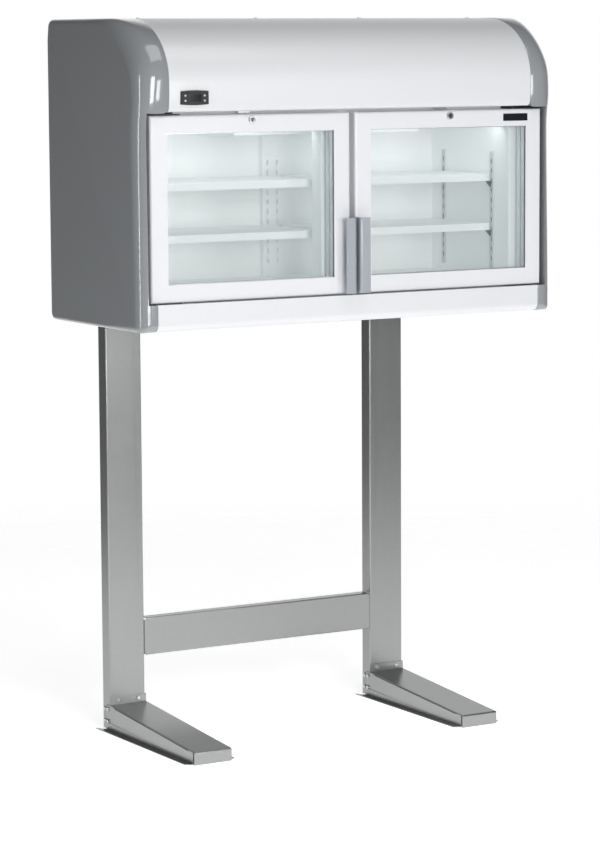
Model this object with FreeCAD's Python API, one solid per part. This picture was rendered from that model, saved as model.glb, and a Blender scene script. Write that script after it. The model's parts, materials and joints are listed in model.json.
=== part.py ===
import FreeCAD, Part
import math
import os

# Two-door display freezer that hangs on a galvanised floor stand, millimetres.
# X runs across the doors, Y runs from the door side (negative) to the back, Z is up.
# The origin is on the floor under the middle of the whole object.

V = FreeCAD.Vector

# ---------------------------------------------------------------- driving sizes
# Doors
door_w = 554.5            # one door
door_h = 445.0
door_gap = 14.5           # between the two doors
door_t = 40.0
stile_w = 46.0            # visible frame beside the glass
rail_h = 42.5             # visible frame above and below the glass
door_round = 6.0          # rounded front edge of the frame
pane_t = 4.0
pane_space = 14.0         # between the two panes
glass_lip = 2.0           # frame skin in front of the glass
glass_bite = 9.0          # how far the panes sit inside the frame
spacer_show = 1.5         # spacer seen past the frame's edge
seal_inset = 22.0         # door edge to the seal
seal_w = 14.0
seal_space = 12.0         # door back to the cabinet's face
seal_gap = 0.4

# Cabinet
cap_over = 34.5           # end cap's side beyond the door's edge
sill_h = 69.0             # underside to door bottom
head_h = 230.0            # door top to roof
cab_d = 476.5             # door face to the cabinet's back
cap_proud = 8.0           # cap in front of the door face beside the door
canopy_proud = 18.0       # canopy in front of the door face
swell_start = 395.0       # above the door's bottom: the front starts to swell forward
swell_end = 505.0         # and is upright again
canopy_deep = 190.0       # depth of the curve from front to roof
canopy_high = 150.0       # height of the same curve
corner_r = 20.0           # lower front, lower back and upper back corners
cap_wall = 3.0
cap_round_low = 10.0      # side rounding of the cap at its foot
cap_round_mid = 44.0      # at the start of the canopy curve
cap_round_top = 66.0      # at the roof's front
cap_round_back = 8.0      # along the back and the underside
cap_rib_t = 2.5
cap_ribs = 5
lobe_in = 43.8            # upper lobe of the cap inboard of the door's edge
low_lobe_in = 13.0        # lower lobe
lobe_round = 16.5
reveal = 11.0             # gap between cap and door
reveal_d = 32.0           # depth of the cap's return wall behind the door face
head_gap = 8.0            # door top to the canopy
lobe_gap = 5.0            # door top to the cap's upper lobe
rebate = 12.0             # lip of the cap under the sheets
skin_inset = 0.5          # sheets lie this far inside the cap's surface
skin_t = 1.2
skin_gap = 0.4            # between a sheet's end and the cap
roll_r = 13.0             # rolled lower edge of the canopy
roll_back = 20.0

# Insulated body
body_over = 8.0           # body's side beyond the door's edge
frame_t = 6.0             # face frame
jamb_w = 63.0             # door edge to the opening, hinge side
meet_w = 52.0             # door edge to the opening, middle
open_low = 40.0           # door bottom to the opening
open_high = 405.0
cavity_floor = 19.0
cavity_roof = 425.0
cavity_back = 410.0       # behind the door face
liner_t = 1.5
body_roof = 490.0         # above the door's bottom
mullion_d = 42.0

# Shelving
shelf_low = 150.5         # shelf tops above the door's bottom
shelf_high = 277.0
shelf_t = 1.2
shelf_lip = 18.0
shelf_edge = 10.0         # side and back lips
shelf_hem = 8.0
shelf_front = 130.0       # behind the door face
shelf_clear = 3.0
shelf_middle = 23.5       # shelf end from the cabinet's middle
upright_w = 16.0
upright_t = 3.0
upright_low = 35.0
upright_high = 334.0
upright_front = 126.0     # behind the door face
upright_rear = 350.0
slot_pitch = 25.0
slot_w = 5.0
slot_h = 12.0
column_w = 56.0
column_d = 15.0
front_post_w = 32.0
front_post_d = 38.0
clip_l = 14.0
clip_h = 16.0
clip_t = 8.0
rear_clip_w = 24.0

# Hinges
pin_in = 16.0             # pin axis inboard of the door's edge
pin_back = 20.0           # and behind the door face
pin_d = 8.0
pin_l = 12.0
pin_fit = 0.05
hinge_plate_t = 2.5
hinge_clear = 0.8
hinge_w = 96.0
hinge_flange = 28.0       # upper leg above the plate
hinge_leg = 16.0          # lower leg above the door's bottom

# Handles
handle_low = 2.0
handle_h = 186.0
handle_out = 28.0
handle_plate = 30.0
handle_t = 3.0
handle_bend = 7.0
handle_back = 25.0

# Locks
lock_z = 431.5            # above the door's bottom
lock_head_r = 9.5
lock_head_t = 5.0
lock_body_r = 8.0
lock_plug_r = 5.5
lock_fit = 0.05
cam_w = 11.0
cam_l = 24.0
cam_t = 2.5
cam_gap = 1.5

# Controller
control_x = 111.4         # its middle, inboard of the left door's edge
control_z = 486.5
control_w = 75.0
control_h = 35.0
control_bow = 2.0
control_t = 3.5
control_depth = 42.0
button_r = 2.3
button_fit = 0.35
button_out = 1.4
button_dx = 26.0
button_dz = 6.0
button_drop = 0.8         # lower middle of the four
display_w = 34.0
display_h = 19.0
display_t = 1.2

# Refrigeration
compressor_r = 72.0
compressor_h = 142.0
compressor_x = -360.0
unit_y = 265.0            # behind the door face
fan_r = 66.0
fan_gap = 4.0
fan_blades = 5
fan_hub_r = 21.0
fan_hub_l = 22.0
condenser_w = 230.0
condenser_h = 150.0
condenser_d = 56.0
fin_count = 16
fin_t = 1.6
tube_r = 5.0
evap_w = 380.0
evap_d = 150.0
evap_h = 24.0
evap_cover_h = 38.0
cool_fan_r = 52.0
cool_hub_r = 18.0
cool_hub_l = 14.0
motor_r = 17.0
motor_l = 26.0
terminal_w = 48.0         # compressor's terminal cover
terminal_h = 44.0
terminal_low = 22.0
terminal_out = 26.0
power_box_x = 300.0       # electrical box: nearest side from the middle
power_box_w = 120.0
power_box_d = 100.0
power_box_h = 90.0
power_lid_t = 6.0
power_lid_over = 4.0
pipe_r = 4.0
drier_r = 11.0
drier_l = 80.0

# Stand
stand_h = 1070.0          # floor to the cabinet's underside
post_w = 100.7
post_d = 40.0
post_t = 2.0
post_lip = 12.0
post_x = 393.5            # post's middle from the object's middle
post_up = 480.0           # post above the cabinet's underside
bar_low = 187.0           # crossbar above the floor
bar_h = 97.0
bar_t = 1.6
bar_notch = 7.0
foot_t = 2.2
foot_len = 498.0
foot_back = 45.0          # foot's end behind the cabinet's back
foot_high = 68.0          # at the post
foot_low = 32.0           # at the front
foot_flange = 18.0
foot_tab = 20.0
foot_setback = 8.0        # side plates behind the foot's front
foot_relief = 2.0         # gap between the cover and the side plates' middle
foot_rest = 24.0          # length of side plate that carries the cover at each end
cover_edge_r = 1.6
bar_slit = 1.5            # between the bar's face and the posts
bar_inset = 8.0           # bar's depth short of the post's
tab_screw_dx = 29.5       # from the post's middle
tab_screw_up = 11.0
side_screw_near = 8.0     # behind the post's front
side_screw_far = 24.0
side_screw_low = 24.0
side_screw_high = 56.0
hang_dx = 25.0
hang_low = 120.0          # above the cabinet's underside
hang_high = 400.0
grommet_r = 9.0
grommet_x = 440.0
grommet_z = 30.0          # above the insulated body
shaft_r = 3.0
cond_x = 40.0
screw_r = 5.5
screw_head = 3.5
shank_r = 3.0
shank_l = 7.0

# ---------------------------------------------------------------- places
pair_half = door_w + door_gap / 2
cab_half = pair_half + cap_over
depth_all = handle_out + cab_d + foot_back
y_face = handle_out - depth_all / 2
y_back = y_face + cab_d
y_frame = y_face + door_t + seal_space
z_under = stand_h
z_door = z_under + sill_h
z_head = z_door + door_h
z_roof = z_head + head_h
body_half = pair_half + body_over
x_strip = -pair_half - reveal
x_lobe = -pair_half + lobe_in
x_low = -pair_half + low_lobe_in
z_lobe = z_head + lobe_gap
z_canopy = z_head + head_gap
z_fascia = z_door - hinge_clear - hinge_plate_t
x_sheet = x_low + rebate + skin_gap
rear_t = skin_inset + skin_t
y_curve = y_face - canopy_proud + canopy_deep
z_curve = z_roof - canopy_high
open_in = pair_half - jamb_w
mullion_half = door_gap / 2 + meet_w
y_cavity = y_face + cavity_back
pin_x = -pair_half + pin_in
pin_y = y_face + pin_back
z_body_roof = z_door + body_roof
control_y = y_face - canopy_proud + skin_inset - control_t


# ---------------------------------------------------------------- helpers
def box(x0, x1, y0, y1, z0, z1):
    return Part.makeBox(x1 - x0, y1 - y0, z1 - z0, V(x0, y0, z0))


def rod(r, start, end):
    start, end = V(*start), V(*end)
    return Part.makeCylinder(r, (end - start).Length, start, end - start)


def mirrored(shape):
    return shape.mirror(V(0, 0, 0), V(1, 0, 0))


def line(a, b):
    return Part.makeLine(V(*a), V(*b))


def polygon(points):
    return Part.Face(Part.makePolygon([V(*p) for p in points] + [V(*points[0])]))


def arc_yz(y, z, r, a0, a1):
    angles = [math.radians(a) for a in (a0, (a0 + a1) / 2, a1)]
    return Part.Arc(*[V(0, y + r * math.cos(a), z + r * math.sin(a)) for a in angles]).toShape()


def fuse(parts):
    return parts[0].fuse(parts[1:]).removeSplitter() if len(parts) > 1 else parts[0]


def edges_where(shape, test):
    return [e for e in shape.Edges if all(test(v.Point) for v in e.Vertexes)]


def near(a, b):
    return abs(a - b) < 1e-4


def save(shape, node):
    shape.exportStep("parts/%s.step" % node)
    print("%-24s %d solids, volume %.0f mm3" % (node, len(shape.Solids), shape.Volume))


# ---------------------------------------------------------------- cabinet envelope
def envelope_edges(inset):
    """Side outline of the cabinet, drawn inside the real surface by inset."""
    y_low = y_face - cap_proud
    y_up = y_face - canopy_proud
    swell = canopy_proud - cap_proud
    z0 = z_door + swell_start
    z1 = z_door + swell_end
    r = ((z1 - z0) ** 2 + swell ** 2) / (4 * swell)
    turn = math.degrees(math.asin((z1 - z0) / 2 / r))
    curve = Part.BezierCurve()
    curve.setPoles([
        V(0, y_up + inset, z_curve),
        V(0, y_up + inset, z_roof - inset),
        V(0, y_curve, z_roof - inset),
    ])
    curve.setWeight(2, math.sqrt(0.5))
    c = corner_r
    return [
        line((0, y_back - c, z_under + inset), (0, y_low + c, z_under + inset)),
        arc_yz(y_low + c, z_under + c, c - inset, 270, 180),
        line((0, y_low + inset, z_under + c), (0, y_low + inset, z0)),
        arc_yz(y_low - r, z0, r + inset, 0, turn),
        arc_yz(y_up + r, z1, r - inset, 180 + turn, 180),
        line((0, y_up + inset, z1), (0, y_up + inset, z_curve)),
        curve.toShape(),
        line((0, y_curve, z_roof - inset), (0, y_back - c, z_roof - inset)),
        arc_yz(y_back - c, z_roof - c, c - inset, 90, 0),
        line((0, y_back - inset, z_roof - c), (0, y_back - inset, z_under + c)),
        arc_yz(y_back - c, z_under + c, c - inset, 0, -90),
    ]


def envelope(inset, x0, x1):
    face = Part.Face(Part.Wire(envelope_edges(inset)))
    face.translate(V(x0, 0, 0))
    return face.extrude(V(x1 - x0, 0, 0))


def sheet_ring(inset, thick, x0, x1):
    return envelope(inset, x0, x1).cut(envelope(inset + thick, x0 - 1, x1 + 1))


def cap_rounding(p):
    """Rounding between the cap's side and its rim at a point of the outline."""
    if p.z <= z_under + corner_r + 1 or p.y >= y_back - corner_r - 1:
        return cap_round_back if p.y > y_face + corner_r else cap_round_low
    if p.y < y_face:
        rise = (p.z - z_under - corner_r) / (z_curve - z_under - corner_r)
        return cap_round_low + (cap_round_mid - cap_round_low) * rise ** 1.5
    return cap_round_top


def rounded_envelope(inset, x0, x1):
    """Envelope whose outer side edge at x0 is rounded, most at the roof's front."""
    base = envelope(inset, x0, x1)
    doc = FreeCAD.newDocument("rounding")
    solid = doc.addObject("Part::Feature", "solid")
    solid.Shape = base
    rounding = doc.addObject("Part::Fillet", "rounding")
    rounding.Base = solid
    picked = []
    for number, edge in enumerate(base.Edges, 1):
        ends = [v.Point for v in edge.Vertexes]
        if edge.BoundBox.XLength < 1e-6 and near(ends[0].x, x0):
            picked.append((number, cap_rounding(ends[0]) - inset, cap_rounding(ends[-1]) - inset))
    rounding.Edges = picked
    doc.recompute()
    shape = rounding.Shape.copy()
    FreeCAD.closeDocument(doc.Name)
    return shape


# ---------------------------------------------------------------- end cap
def end_cap():
    """Left moulded end cap: a shell with two front lobes, a rebated lip and ribs."""
    x_out = -cab_half
    outer = rounded_envelope(0, x_out, x_lobe)
    inner = rounded_envelope(cap_wall, x_out + cap_wall, x_lobe + 1)
    shell = outer.cut(inner)
    far = 2 * cab_d
    shell = shell.cut(box(x_strip, 0, -far, far, z_fascia, z_lobe))
    shell = shell.cut(box(x_low, 0, -far, far, z_under - 1, z_fascia))
    shell = shell.cut(box(x_strip, 0, y_back - corner_r, far, z_under + corner_r, z_roof - corner_r))
    lip_t = cap_wall - skin_inset - skin_t - 0.1
    ring = sheet_ring(cap_wall - lip_t, lip_t, x_low - 1, x_lobe + rebate)
    ring = ring.cut(box(x_low - 2, x_lobe + 20, y_back - corner_r, far, z_under + corner_r, z_roof - corner_r))
    upper = ring.common(box(x_lobe - 1, x_lobe + rebate, -far, far, z_canopy + roll_r + 1, z_roof + 1))
    lower = ring.common(box(x_low - 1, x_low + rebate, -far, far, z_under - 1, z_fascia - skin_t - 0.5))
    walls = [
        box(x_strip - cap_wall, x_strip, y_face - canopy_proud - 1, y_face + reveal_d, z_fascia - 1, z_lobe + 1),
        box(x_strip - cap_wall, x_lobe, y_face - canopy_proud - 1, y_face + reveal_d, z_lobe, z_lobe + cap_wall),
        box(x_strip - cap_wall, x_low, y_face - canopy_proud - 1, y_face + reveal_d, z_fascia - cap_wall, z_fascia),
    ]
    walls = [w.common(outer) for w in walls]
    ribs = []
    for k in range(cap_ribs):
        z = z_under + cap_wall + (k + 0.5) * (body_roof + sill_h - 2 * cap_wall) / cap_ribs
        rib = box(x_out + 1, -body_half, y_face + reveal_d + 20, y_back - corner_r, z, z + cap_rib_t)
        ribs.append(rib.common(outer))
    cap = fuse([shell, upper, lower] + walls + ribs)
    corner = edges_where(cap, lambda p: near(p.x, x_lobe) and near(p.z, z_lobe))
    if corner:
        cap = cap.makeFillet(lobe_round, corner)
    return cap


# ---------------------------------------------------------------- cabinet sheets
def canopy():
    """Front sheet: upright, then curving over to the roof, with a rolled lower edge."""
    x0, x1 = x_lobe + skin_gap, -x_lobe - skin_gap
    z0 = z_canopy + roll_r
    ring = sheet_ring(skin_inset, skin_t, x0, x1)
    front = ring.common(box(x0, x1, y_face - canopy_proud - 1, y_curve, z0, z_roof + 1))
    y0 = min(v.Y for v in front.Vertexes if near(v.Z, z0))
    arc_o = arc_yz(y0 + roll_r, z0, roll_r, 180, 270)
    arc_i = arc_yz(y0 + roll_r, z0, roll_r - skin_t, 270, 180)
    low, high = z0 - roll_r, z0 - roll_r + skin_t
    back = y0 + roll_r + roll_back
    outline = [
        arc_o,
        line((0, y0 + roll_r, low), (0, back, low)),
        line((0, back, low), (0, back, high)),
        line((0, back, high), (0, y0 + roll_r, high)),
        arc_i,
        line((0, y0 + skin_t, z0), (0, y0, z0)),
    ]
    roll = Part.Face(Part.Wire(Part.__sortEdges__(outline)))
    roll.translate(V(x0, 0, 0))
    roll = roll.extrude(V(x1 - x0, 0, 0))
    sheet = fuse([front, roll])
    cut = box(*control_hole(), y_face - 60, y_face + 20, *control_hole_z())
    return sheet.cut(cut)


def control_hole():
    x = -pair_half + control_x
    half = control_w / 2 - 4
    return x - half, x + half


def control_hole_z():
    z = z_door + control_z
    half = control_h / 2 - 3
    return z - half, z + half


def roof_panel():
    """Roof sheet between the caps with rows of louvre slots above the unit."""
    x0, x1 = x_lobe + skin_gap, -x_lobe - skin_gap
    ring = sheet_ring(skin_inset, skin_t, x0, x1)
    roof = ring.common(box(x0, x1, y_curve + skin_gap, y_back + 1, z_roof - corner_r, z_roof + 1))
    slots = []
    for row in range(2):
        for k in range(9):
            x = -300 + k * 42.0
            y = y_back - 150 + row * 60
            slots.append(box(x, x + 8, y, y + 44, z_roof - 5, z_roof + 5))
    return fuse([roof.cut(Part.makeCompound(slots))] + roof_screws())


def lower_shell():
    """Fascia under the doors and underside in one folded sheet."""
    x0, x1 = x_low + skin_gap, -x_low - skin_gap
    ring = sheet_ring(skin_inset, skin_t, x0, x1)
    y_mid = y_frame
    front = ring.common(box(x0, x1, -cab_d, y_mid, z_under - 1, z_fascia))
    back = ring.common(box(x0, x1, y_mid, y_back + 1, z_under - 1, z_under + corner_r - skin_gap))
    y0 = y_face - cap_proud + skin_inset
    flange = box(x0, x1, y0, y_frame, z_fascia - skin_t, z_fascia)
    return fuse([front, back, flange])


def rear_panel():
    """Back sheet of the insulated body, folded forward over its top under the unit."""
    z0, z1 = z_under + corner_r, z_body_roof + skin_t
    back = box(-body_half, body_half, y_back - rear_t, y_back, z0, z1)
    top = box(-body_half, body_half, y_frame + frame_t, y_back, z_body_roof, z1)
    sheet = fuse([back, top])
    holes = [rod(shank_r, (s * x, y_back - 10, z), (s * x, y_back + 1, z)) for x, z in hang_places() for s in (-1, 1)]
    return sheet.cut(Part.makeCompound(holes))


def rear_grille():
    """Louvred cover behind the machine compartment, with a hole for the supply."""
    z0, z1 = z_body_roof + skin_t, z_roof - corner_r - skin_gap
    cover = box(-body_half, body_half, y_back - skin_inset - skin_t, y_back - skin_inset, z0, z1)
    cuts = []
    for row in range(6):
        z = z0 + 18 + row * 20
        for x in (-300, -60, 180):
            cuts.append(box(x - 80, x + 80, y_back - 10, y_back + 10, z, z + 8))
    cuts.append(rod(grommet_r, (grommet_x, y_back - 10, z_body_roof + grommet_z), (grommet_x, y_back + 10, z_body_roof + grommet_z)))
    return cover.cut(Part.makeCompound(cuts))


def cord_grommet():
    """Rubber ring that lines the supply hole."""
    z = z_body_roof + grommet_z
    y0, y1 = y_back - skin_inset - skin_t, y_back - skin_inset
    ring = rod(grommet_r, (grommet_x, y0, z), (grommet_x, y1, z))
    ring = ring.fuse([
        rod(grommet_r + 3, (grommet_x, y0 - 2.5, z), (grommet_x, y0, z)),
        rod(grommet_r + 3, (grommet_x, y1, z), (grommet_x, y1 + 2.5, z)),
    ])
    return ring.cut(rod(grommet_r - 4, (grommet_x, y0 - 5, z), (grommet_x, y1 + 5, z))).removeSplitter()


# ---------------------------------------------------------------- insulated body
def cavity(grow):
    half = open_in + grow
    y1 = y_cavity + grow
    return box(-half, half, y_frame + frame_t, y1, z_door + cavity_floor - grow, z_door + cavity_roof + grow)


def face_frame():
    """White frame round both openings that the door seals close on."""
    plate = box(-body_half, body_half, y_frame, y_frame + frame_t, z_fascia - 12, z_body_roof)
    z0, z1 = z_door + open_low, z_door + open_high
    window = box(-open_in, -mullion_half, y_frame - 1, y_frame + frame_t + 1, z0, z1)
    window = window.makeFillet(8, edges_where_along_y(window))
    return plate.cut(window).cut(mirrored(window))


def edges_where_along_y(shape):
    return [e for e in shape.Edges if e.BoundBox.XLength < 1e-6 and e.BoundBox.ZLength < 1e-6]


def inner_liner():
    return cavity(liner_t).cut(cavity(0))


def insulation():
    """Foam between liner and outer sheets."""
    y0, y1 = y_frame + frame_t, y_back - rear_t
    room = box(-body_half, body_half, y0, y1, z_under, z_body_roof)
    middle = envelope(skin_inset + skin_t, x_sheet, -x_sheet)
    ends = envelope(cap_wall + 0.1, -body_half, body_half)
    back = box(-body_half, body_half, y0, y1, z_under + corner_r, z_body_roof)
    block = fuse([middle.common(room), ends.common(room), back])
    holes = [rod(shank_r, (s * x, y_back - shank_l, z), (s * x, y_back, z)) for x, z in hang_places() for s in (-1, 1)]
    return block.cut(cavity(liner_t)).cut(Part.makeCompound(holes))


def centre_mullion():
    z0, z1 = z_door + cavity_floor, z_door + cavity_roof
    y0 = y_frame + frame_t
    block = box(-mullion_half, mullion_half, y0, y0 + mullion_d, z0, z1)
    upright_edges = [e for e in block.Edges
                     if e.BoundBox.ZLength > 100 and near(e.Vertexes[0].Y, y0 + mullion_d)]
    return block.makeFillet(6, upright_edges)


# ---------------------------------------------------------------- shelving
def slotted(strip, axis, centre, low, high, through):
    """Cuts a column of slots through a strip; axis 'x' or 'y' is the cutting direction."""
    slots = []
    count = int((high - low - slot_h) // slot_pitch)
    first = (low + high - (count - 1) * slot_pitch - slot_h) / 2
    for k in range(count):
        z = first + k * slot_pitch
        half = slot_w / 2
        if axis == "x":
            slots.append(box(through[0], through[1], centre - half, centre + half, z, z + slot_h))
        else:
            slots.append(box(centre - half, centre + half, through[0], through[1], z, z + slot_h))
    return strip.cut(Part.makeCompound(slots))


def side_uprights():
    """Slotted shelf strips on the side walls, mirrored to the other side."""
    z0, z1 = z_door + upright_low, z_door + upright_high
    strips = []
    for y in (upright_front, upright_rear):
        centre = y_face + y
        strip = box(-open_in, -open_in + upright_t, centre - upright_w / 2, centre + upright_w / 2, z0, z1)
        strips.append(slotted(strip, "x", centre, z0, z1, (-open_in - 1, -open_in + upright_t + 1)))
    return Part.makeCompound(strips + [mirrored(s) for s in strips])


def rear_column():
    """Channel in the middle of the back wall with two slotted strips and a plain top."""
    z0, z1 = z_door + cavity_floor, z_door + cavity_roof
    y0 = y_cavity - column_d
    half = column_w / 2
    column = box(-half, half, y0, y_cavity, z0, z1)
    column = column.cut(box(-half + 2, half - 2, y0 + 2, y_cavity + 1, z0 - 1, z1 + 1))
    low, high = z_door + upright_low, z_door + upright_high
    for x in (-column_w / 4, column_w / 4):
        column = slotted(column, "y", x, low, high, (y0 - 1, y0 + 3))
    return column


def front_upright():
    """Shelf post behind the centre mullion."""
    y0 = y_frame + frame_t + mullion_d
    z0, z1 = z_door + cavity_floor, z_door + cavity_roof
    half = front_post_w / 2
    post = box(-half, half, y0, y0 + front_post_d, z0, z1)
    post = post.cut(box(-half + 2, half - 2, y0 - 1, y0 + front_post_d - 2, z0 - 1, z1 + 1))
    low, high = z_door + upright_low, z_door + upright_high
    slot_y = y_face + upright_front
    return slotted(post, "x", slot_y, low, high, (-half - 1, half + 1))


def shelf(level):
    """Left shelf: folded sheet with a deep front lip and shallow side and back lips."""
    x0 = -open_in + upright_t + shelf_clear
    x1 = -shelf_middle
    y0 = y_face + shelf_front
    y1 = y_cavity - shelf_clear
    z1 = z_door + level
    y_notch = y1 - column_d
    top = box(x0, x1, y0, y1, z1 - shelf_t, z1)
    front = box(x0, x1, y0, y0 + shelf_t, z1 - shelf_lip, z1)
    under = box(x0, x1, y0, y0 + shelf_hem, z1 - shelf_lip, z1 - shelf_lip + shelf_t)
    back = box(x0, x1, y1 - shelf_t, y1, z1 - shelf_edge, z1)
    left = box(x0, x0 + shelf_t, y0, y1, z1 - shelf_edge, z1)
    right = box(x1 - shelf_t, x1, y0, y_notch, z1 - shelf_edge, z1)
    sheet = fuse([top, front, under, back, left, right])
    x_notch = -column_w / 2 - shelf_clear
    return sheet.cut(box(x_notch, x1 + 1, y_notch, y1 + 1, z1 - shelf_lip, z1 + 1))


def shelf_clips():
    """Dark gussets hooked into the strips under each shelf."""
    clips = []
    for level in (shelf_low, shelf_high):
        z = z_door + level - shelf_lip
        zb = z_door + level - shelf_edge
        for y, top in ((upright_front, z), (upright_rear, zb)):
            yc = y_face + y
            x = -open_in + upright_t
            tri = polygon([(x, yc, top), (x + clip_l, yc, top), (x, yc, top - clip_h)])
            clips.append(tri.extrude(V(0, clip_t, 0)))
        yc = y_face + upright_front
        x = -front_post_w / 2
        tri = polygon([(x, yc, z), (x - clip_l, yc, z), (x, yc, z - clip_h)])
        clips.append(tri.extrude(V(0, clip_t, 0)))
        y = y_cavity - column_d
        x = -column_w / 4 - rear_clip_w
        tri = polygon([(x, y, zb), (x, y - clip_l, zb), (x, y, zb - clip_h)])
        clips.append(tri.extrude(V(rear_clip_w, 0, 0)))
    return Part.makeCompound(clips + [mirrored(c) for c in clips])


# ---------------------------------------------------------------- doors (left, mirrored for right)
def door_outline(inset, y0, y1, side=0.0):
    return box(-pair_half + inset + side, -door_gap / 2 - inset - side, y0, y1, z_door + inset, z_head - inset)


def window_box(grow, y0, y1):
    return box(-pair_half + stile_w - grow, -door_gap / 2 - stile_w + grow, y0, y1,
               z_door + rail_h - grow, z_head - rail_h + grow)


def door_frame():
    """Frame with rounded front edges, a pocket for the panes and a groove for the seal."""
    y0, y1 = y_face, y_face + door_t
    frame = door_outline(0, y0, y1)
    rim = [e for e in frame.Edges if all(near(v.Y, y0) for v in e.Vertexes)]
    frame = frame.makeFillet(door_round, rim)
    frame = frame.cut(window_box(0, y0 - 1, y1 + 1))
    frame = frame.cut(window_box(glass_bite, y0 + glass_lip, y0 + glass_lip + 2 * pane_t + pane_space))
    groove = seal_body(seal_inset + 4, seal_w - 8, y1 - 5, y1 + 1)
    frame = frame.cut(groove)
    for z0, z1 in ((z_door - 1, z_door + pin_l + 2), (z_head - pin_l - 2, z_head + 1)):
        frame = frame.cut(rod(pin_d / 2 + pin_fit, (pin_x, pin_y, z0), (pin_x, pin_y, z1)))
    x, z = lock_place()
    return frame.cut(rod(lock_body_r, (x, y0 - 1, z), (x, y1 + 1, z)))


def lock_place():
    return -(pair_half + door_gap / 2) / 2, z_door + lock_z


def seal_body(inset, width, y0, y1):
    return door_outline(inset, y0, y1).cut(door_outline(inset + width, y0 - 1, y1 + 1))


def door_seal():
    """Magnetic seal with its root in the frame's groove."""
    y1 = y_face + door_t
    bellows = seal_body(seal_inset, seal_w, y1, y_frame - seal_gap)
    root = seal_body(seal_inset + 4, seal_w - 8, y1 - 5, y1)
    return fuse([bellows, root])


def door_panes():
    y0 = y_face + glass_lip
    grow = glass_bite
    front = window_box(grow, y0, y0 + pane_t)
    back = window_box(grow, y0 + pane_t + pane_space, y0 + 2 * pane_t + pane_space)
    return Part.makeCompound([front, back])


def pane_spacer():
    y0 = y_face + glass_lip + pane_t
    ring = window_box(glass_bite - 1, y0, y0 + pane_space)
    return ring.cut(window_box(-spacer_show, y0 - 1, y0 + pane_space + 1))


def handle():
    """Extruded grip: flange on the door's edge, curved wall and front plate."""
    t = handle_t
    x_edge = -door_gap / 2
    x_wall = x_edge + t
    y_out = y_face - handle_out
    r = handle_bend
    c = (x_wall - r, y_out + r)

    def arc(radius, a0, a1):
        angles = [math.radians(a) for a in (a0, (a0 + a1) / 2, a1)]
        return Part.Arc(*[V(c[0] + radius * math.cos(a), c[1] + radius * math.sin(a), 0) for a in angles]).toShape()

    end = x_wall - handle_plate
    yb = y_face + handle_back
    tip = 2.0
    edges = [
        line((x_wall, yb, 0), (x_wall, c[1], 0)),
        arc(r, 0, -90),
        line((c[0], y_out, 0), (end, y_out, 0)),
        line((end, y_out, 0), (end, y_out + t + tip, 0)),
        line((end, y_out + t + tip, 0), (end + t, y_out + t + tip, 0)),
        line((end + t, y_out + t + tip, 0), (end + t, y_out + t, 0)),
        line((end + t, y_out + t, 0), (c[0], y_out + t, 0)),
        arc(r - t, -90, 0),
        line((x_edge, c[1], 0), (x_edge, yb, 0)),
        line((x_edge, yb, 0), (x_wall, yb, 0)),
    ]
    face = Part.Face(Part.Wire(edges))
    face.translate(V(0, 0, z_door + handle_low))
    return face.extrude(V(0, 0, handle_h))


def lock_body():
    """Threaded barrel with its collar on the door face and a nut behind."""
    x, z = lock_place()
    y0 = y_face
    y1 = y_face + door_t
    body = fuse([
        rod(lock_head_r, (x, y0 - lock_head_t, z), (x, y0, z)),
        rod(lock_body_r, (x, y0, z), (x, y1, z)),
    ])
    rim = [e for e in body.Edges if all(near(v.Y, y0 - lock_head_t) for v in e.Vertexes)]
    body = body.makeChamfer(1.0, rim)
    return body.cut(rod(lock_plug_r + lock_fit, (x, y0 - lock_head_t - 1, z), (x, y1 + 1, z)))


def lock_plug():
    """Turning plug with the key slot and the cam behind the door."""
    x, z = lock_place()
    y0 = y_face - lock_head_t + 0.5
    y1 = y_face + door_t + cam_gap
    plug = rod(lock_plug_r, (x, y0, z), (x, y1, z))
    plug = plug.cut(box(x - 0.8, x + 0.8, y0 - 1, y0 + 8, z - 3.5, z + 3.5))
    bar = box(x - cam_w / 2, x + cam_l - cam_w / 2, y1, y1 + cam_t, z - cam_w / 2, z + cam_w / 2)
    ends = [e for e in bar.Edges if e.BoundBox.XLength < 1e-6 and e.BoundBox.ZLength < 1e-6]
    return fuse([plug, bar.makeFillet(3, ends)])


def lock_keeper():
    """Angle over the door that the cam turns behind."""
    x, z = lock_place()
    y0 = y_face + door_t + cam_gap - 3.5
    top = z_canopy - 1.0
    lip = box(x - 16, x + 16, y0, y0 + 1.5, z_head + 1.5, top)
    arm = box(x - 16, x + 16, y0, y_frame, top - 1.5, top)
    foot = box(x - 16, x + 16, y_frame - 1.5, y_frame, top - 1.5, top + 14)
    return fuse([lip, arm, foot])


def badge_plate():
    """Bare dark plate on the right door."""
    x1 = pair_half - 41.7
    z0 = z_door + 415.4
    plate = box(x1 - 74.0, x1, y_face - 0.8, y_face, z0, z0 + 18.4)
    ends = [e for e in plate.Edges if e.BoundBox.XLength < 1e-6 and e.BoundBox.ZLength < 1e-6]
    return plate.makeFillet(1.5, ends)


# ---------------------------------------------------------------- hinges
def hinge_bracket(upper):
    """Angle bracket with the pin that carries the door's corner."""
    x0 = -pair_half - body_over
    x1 = x0 + hinge_w
    y0 = pin_y - 14
    y1 = y_frame - hinge_plate_t
    if upper:
        z0 = z_head + hinge_clear
        leg = box(x0, x1, y1, y_frame, z0, z0 + hinge_flange)
        pin = rod(pin_d / 2, (pin_x, pin_y, z_head - pin_l), (pin_x, pin_y, z0))
    else:
        z0 = z_fascia
        leg = box(x0, x1, y1, y_frame, z0, z_door + hinge_leg)
        pin = rod(pin_d / 2, (pin_x, pin_y, z0), (pin_x, pin_y, z_door + pin_l))
    plate = box(x0, x1, y0, y_frame, z0, z0 + hinge_plate_t)
    nose = [e for e in plate.Edges if e.BoundBox.ZLength > 1 and near(e.Vertexes[0].Y, y0)]
    return fuse([plate.makeFillet(8, nose), leg, pin])


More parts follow.
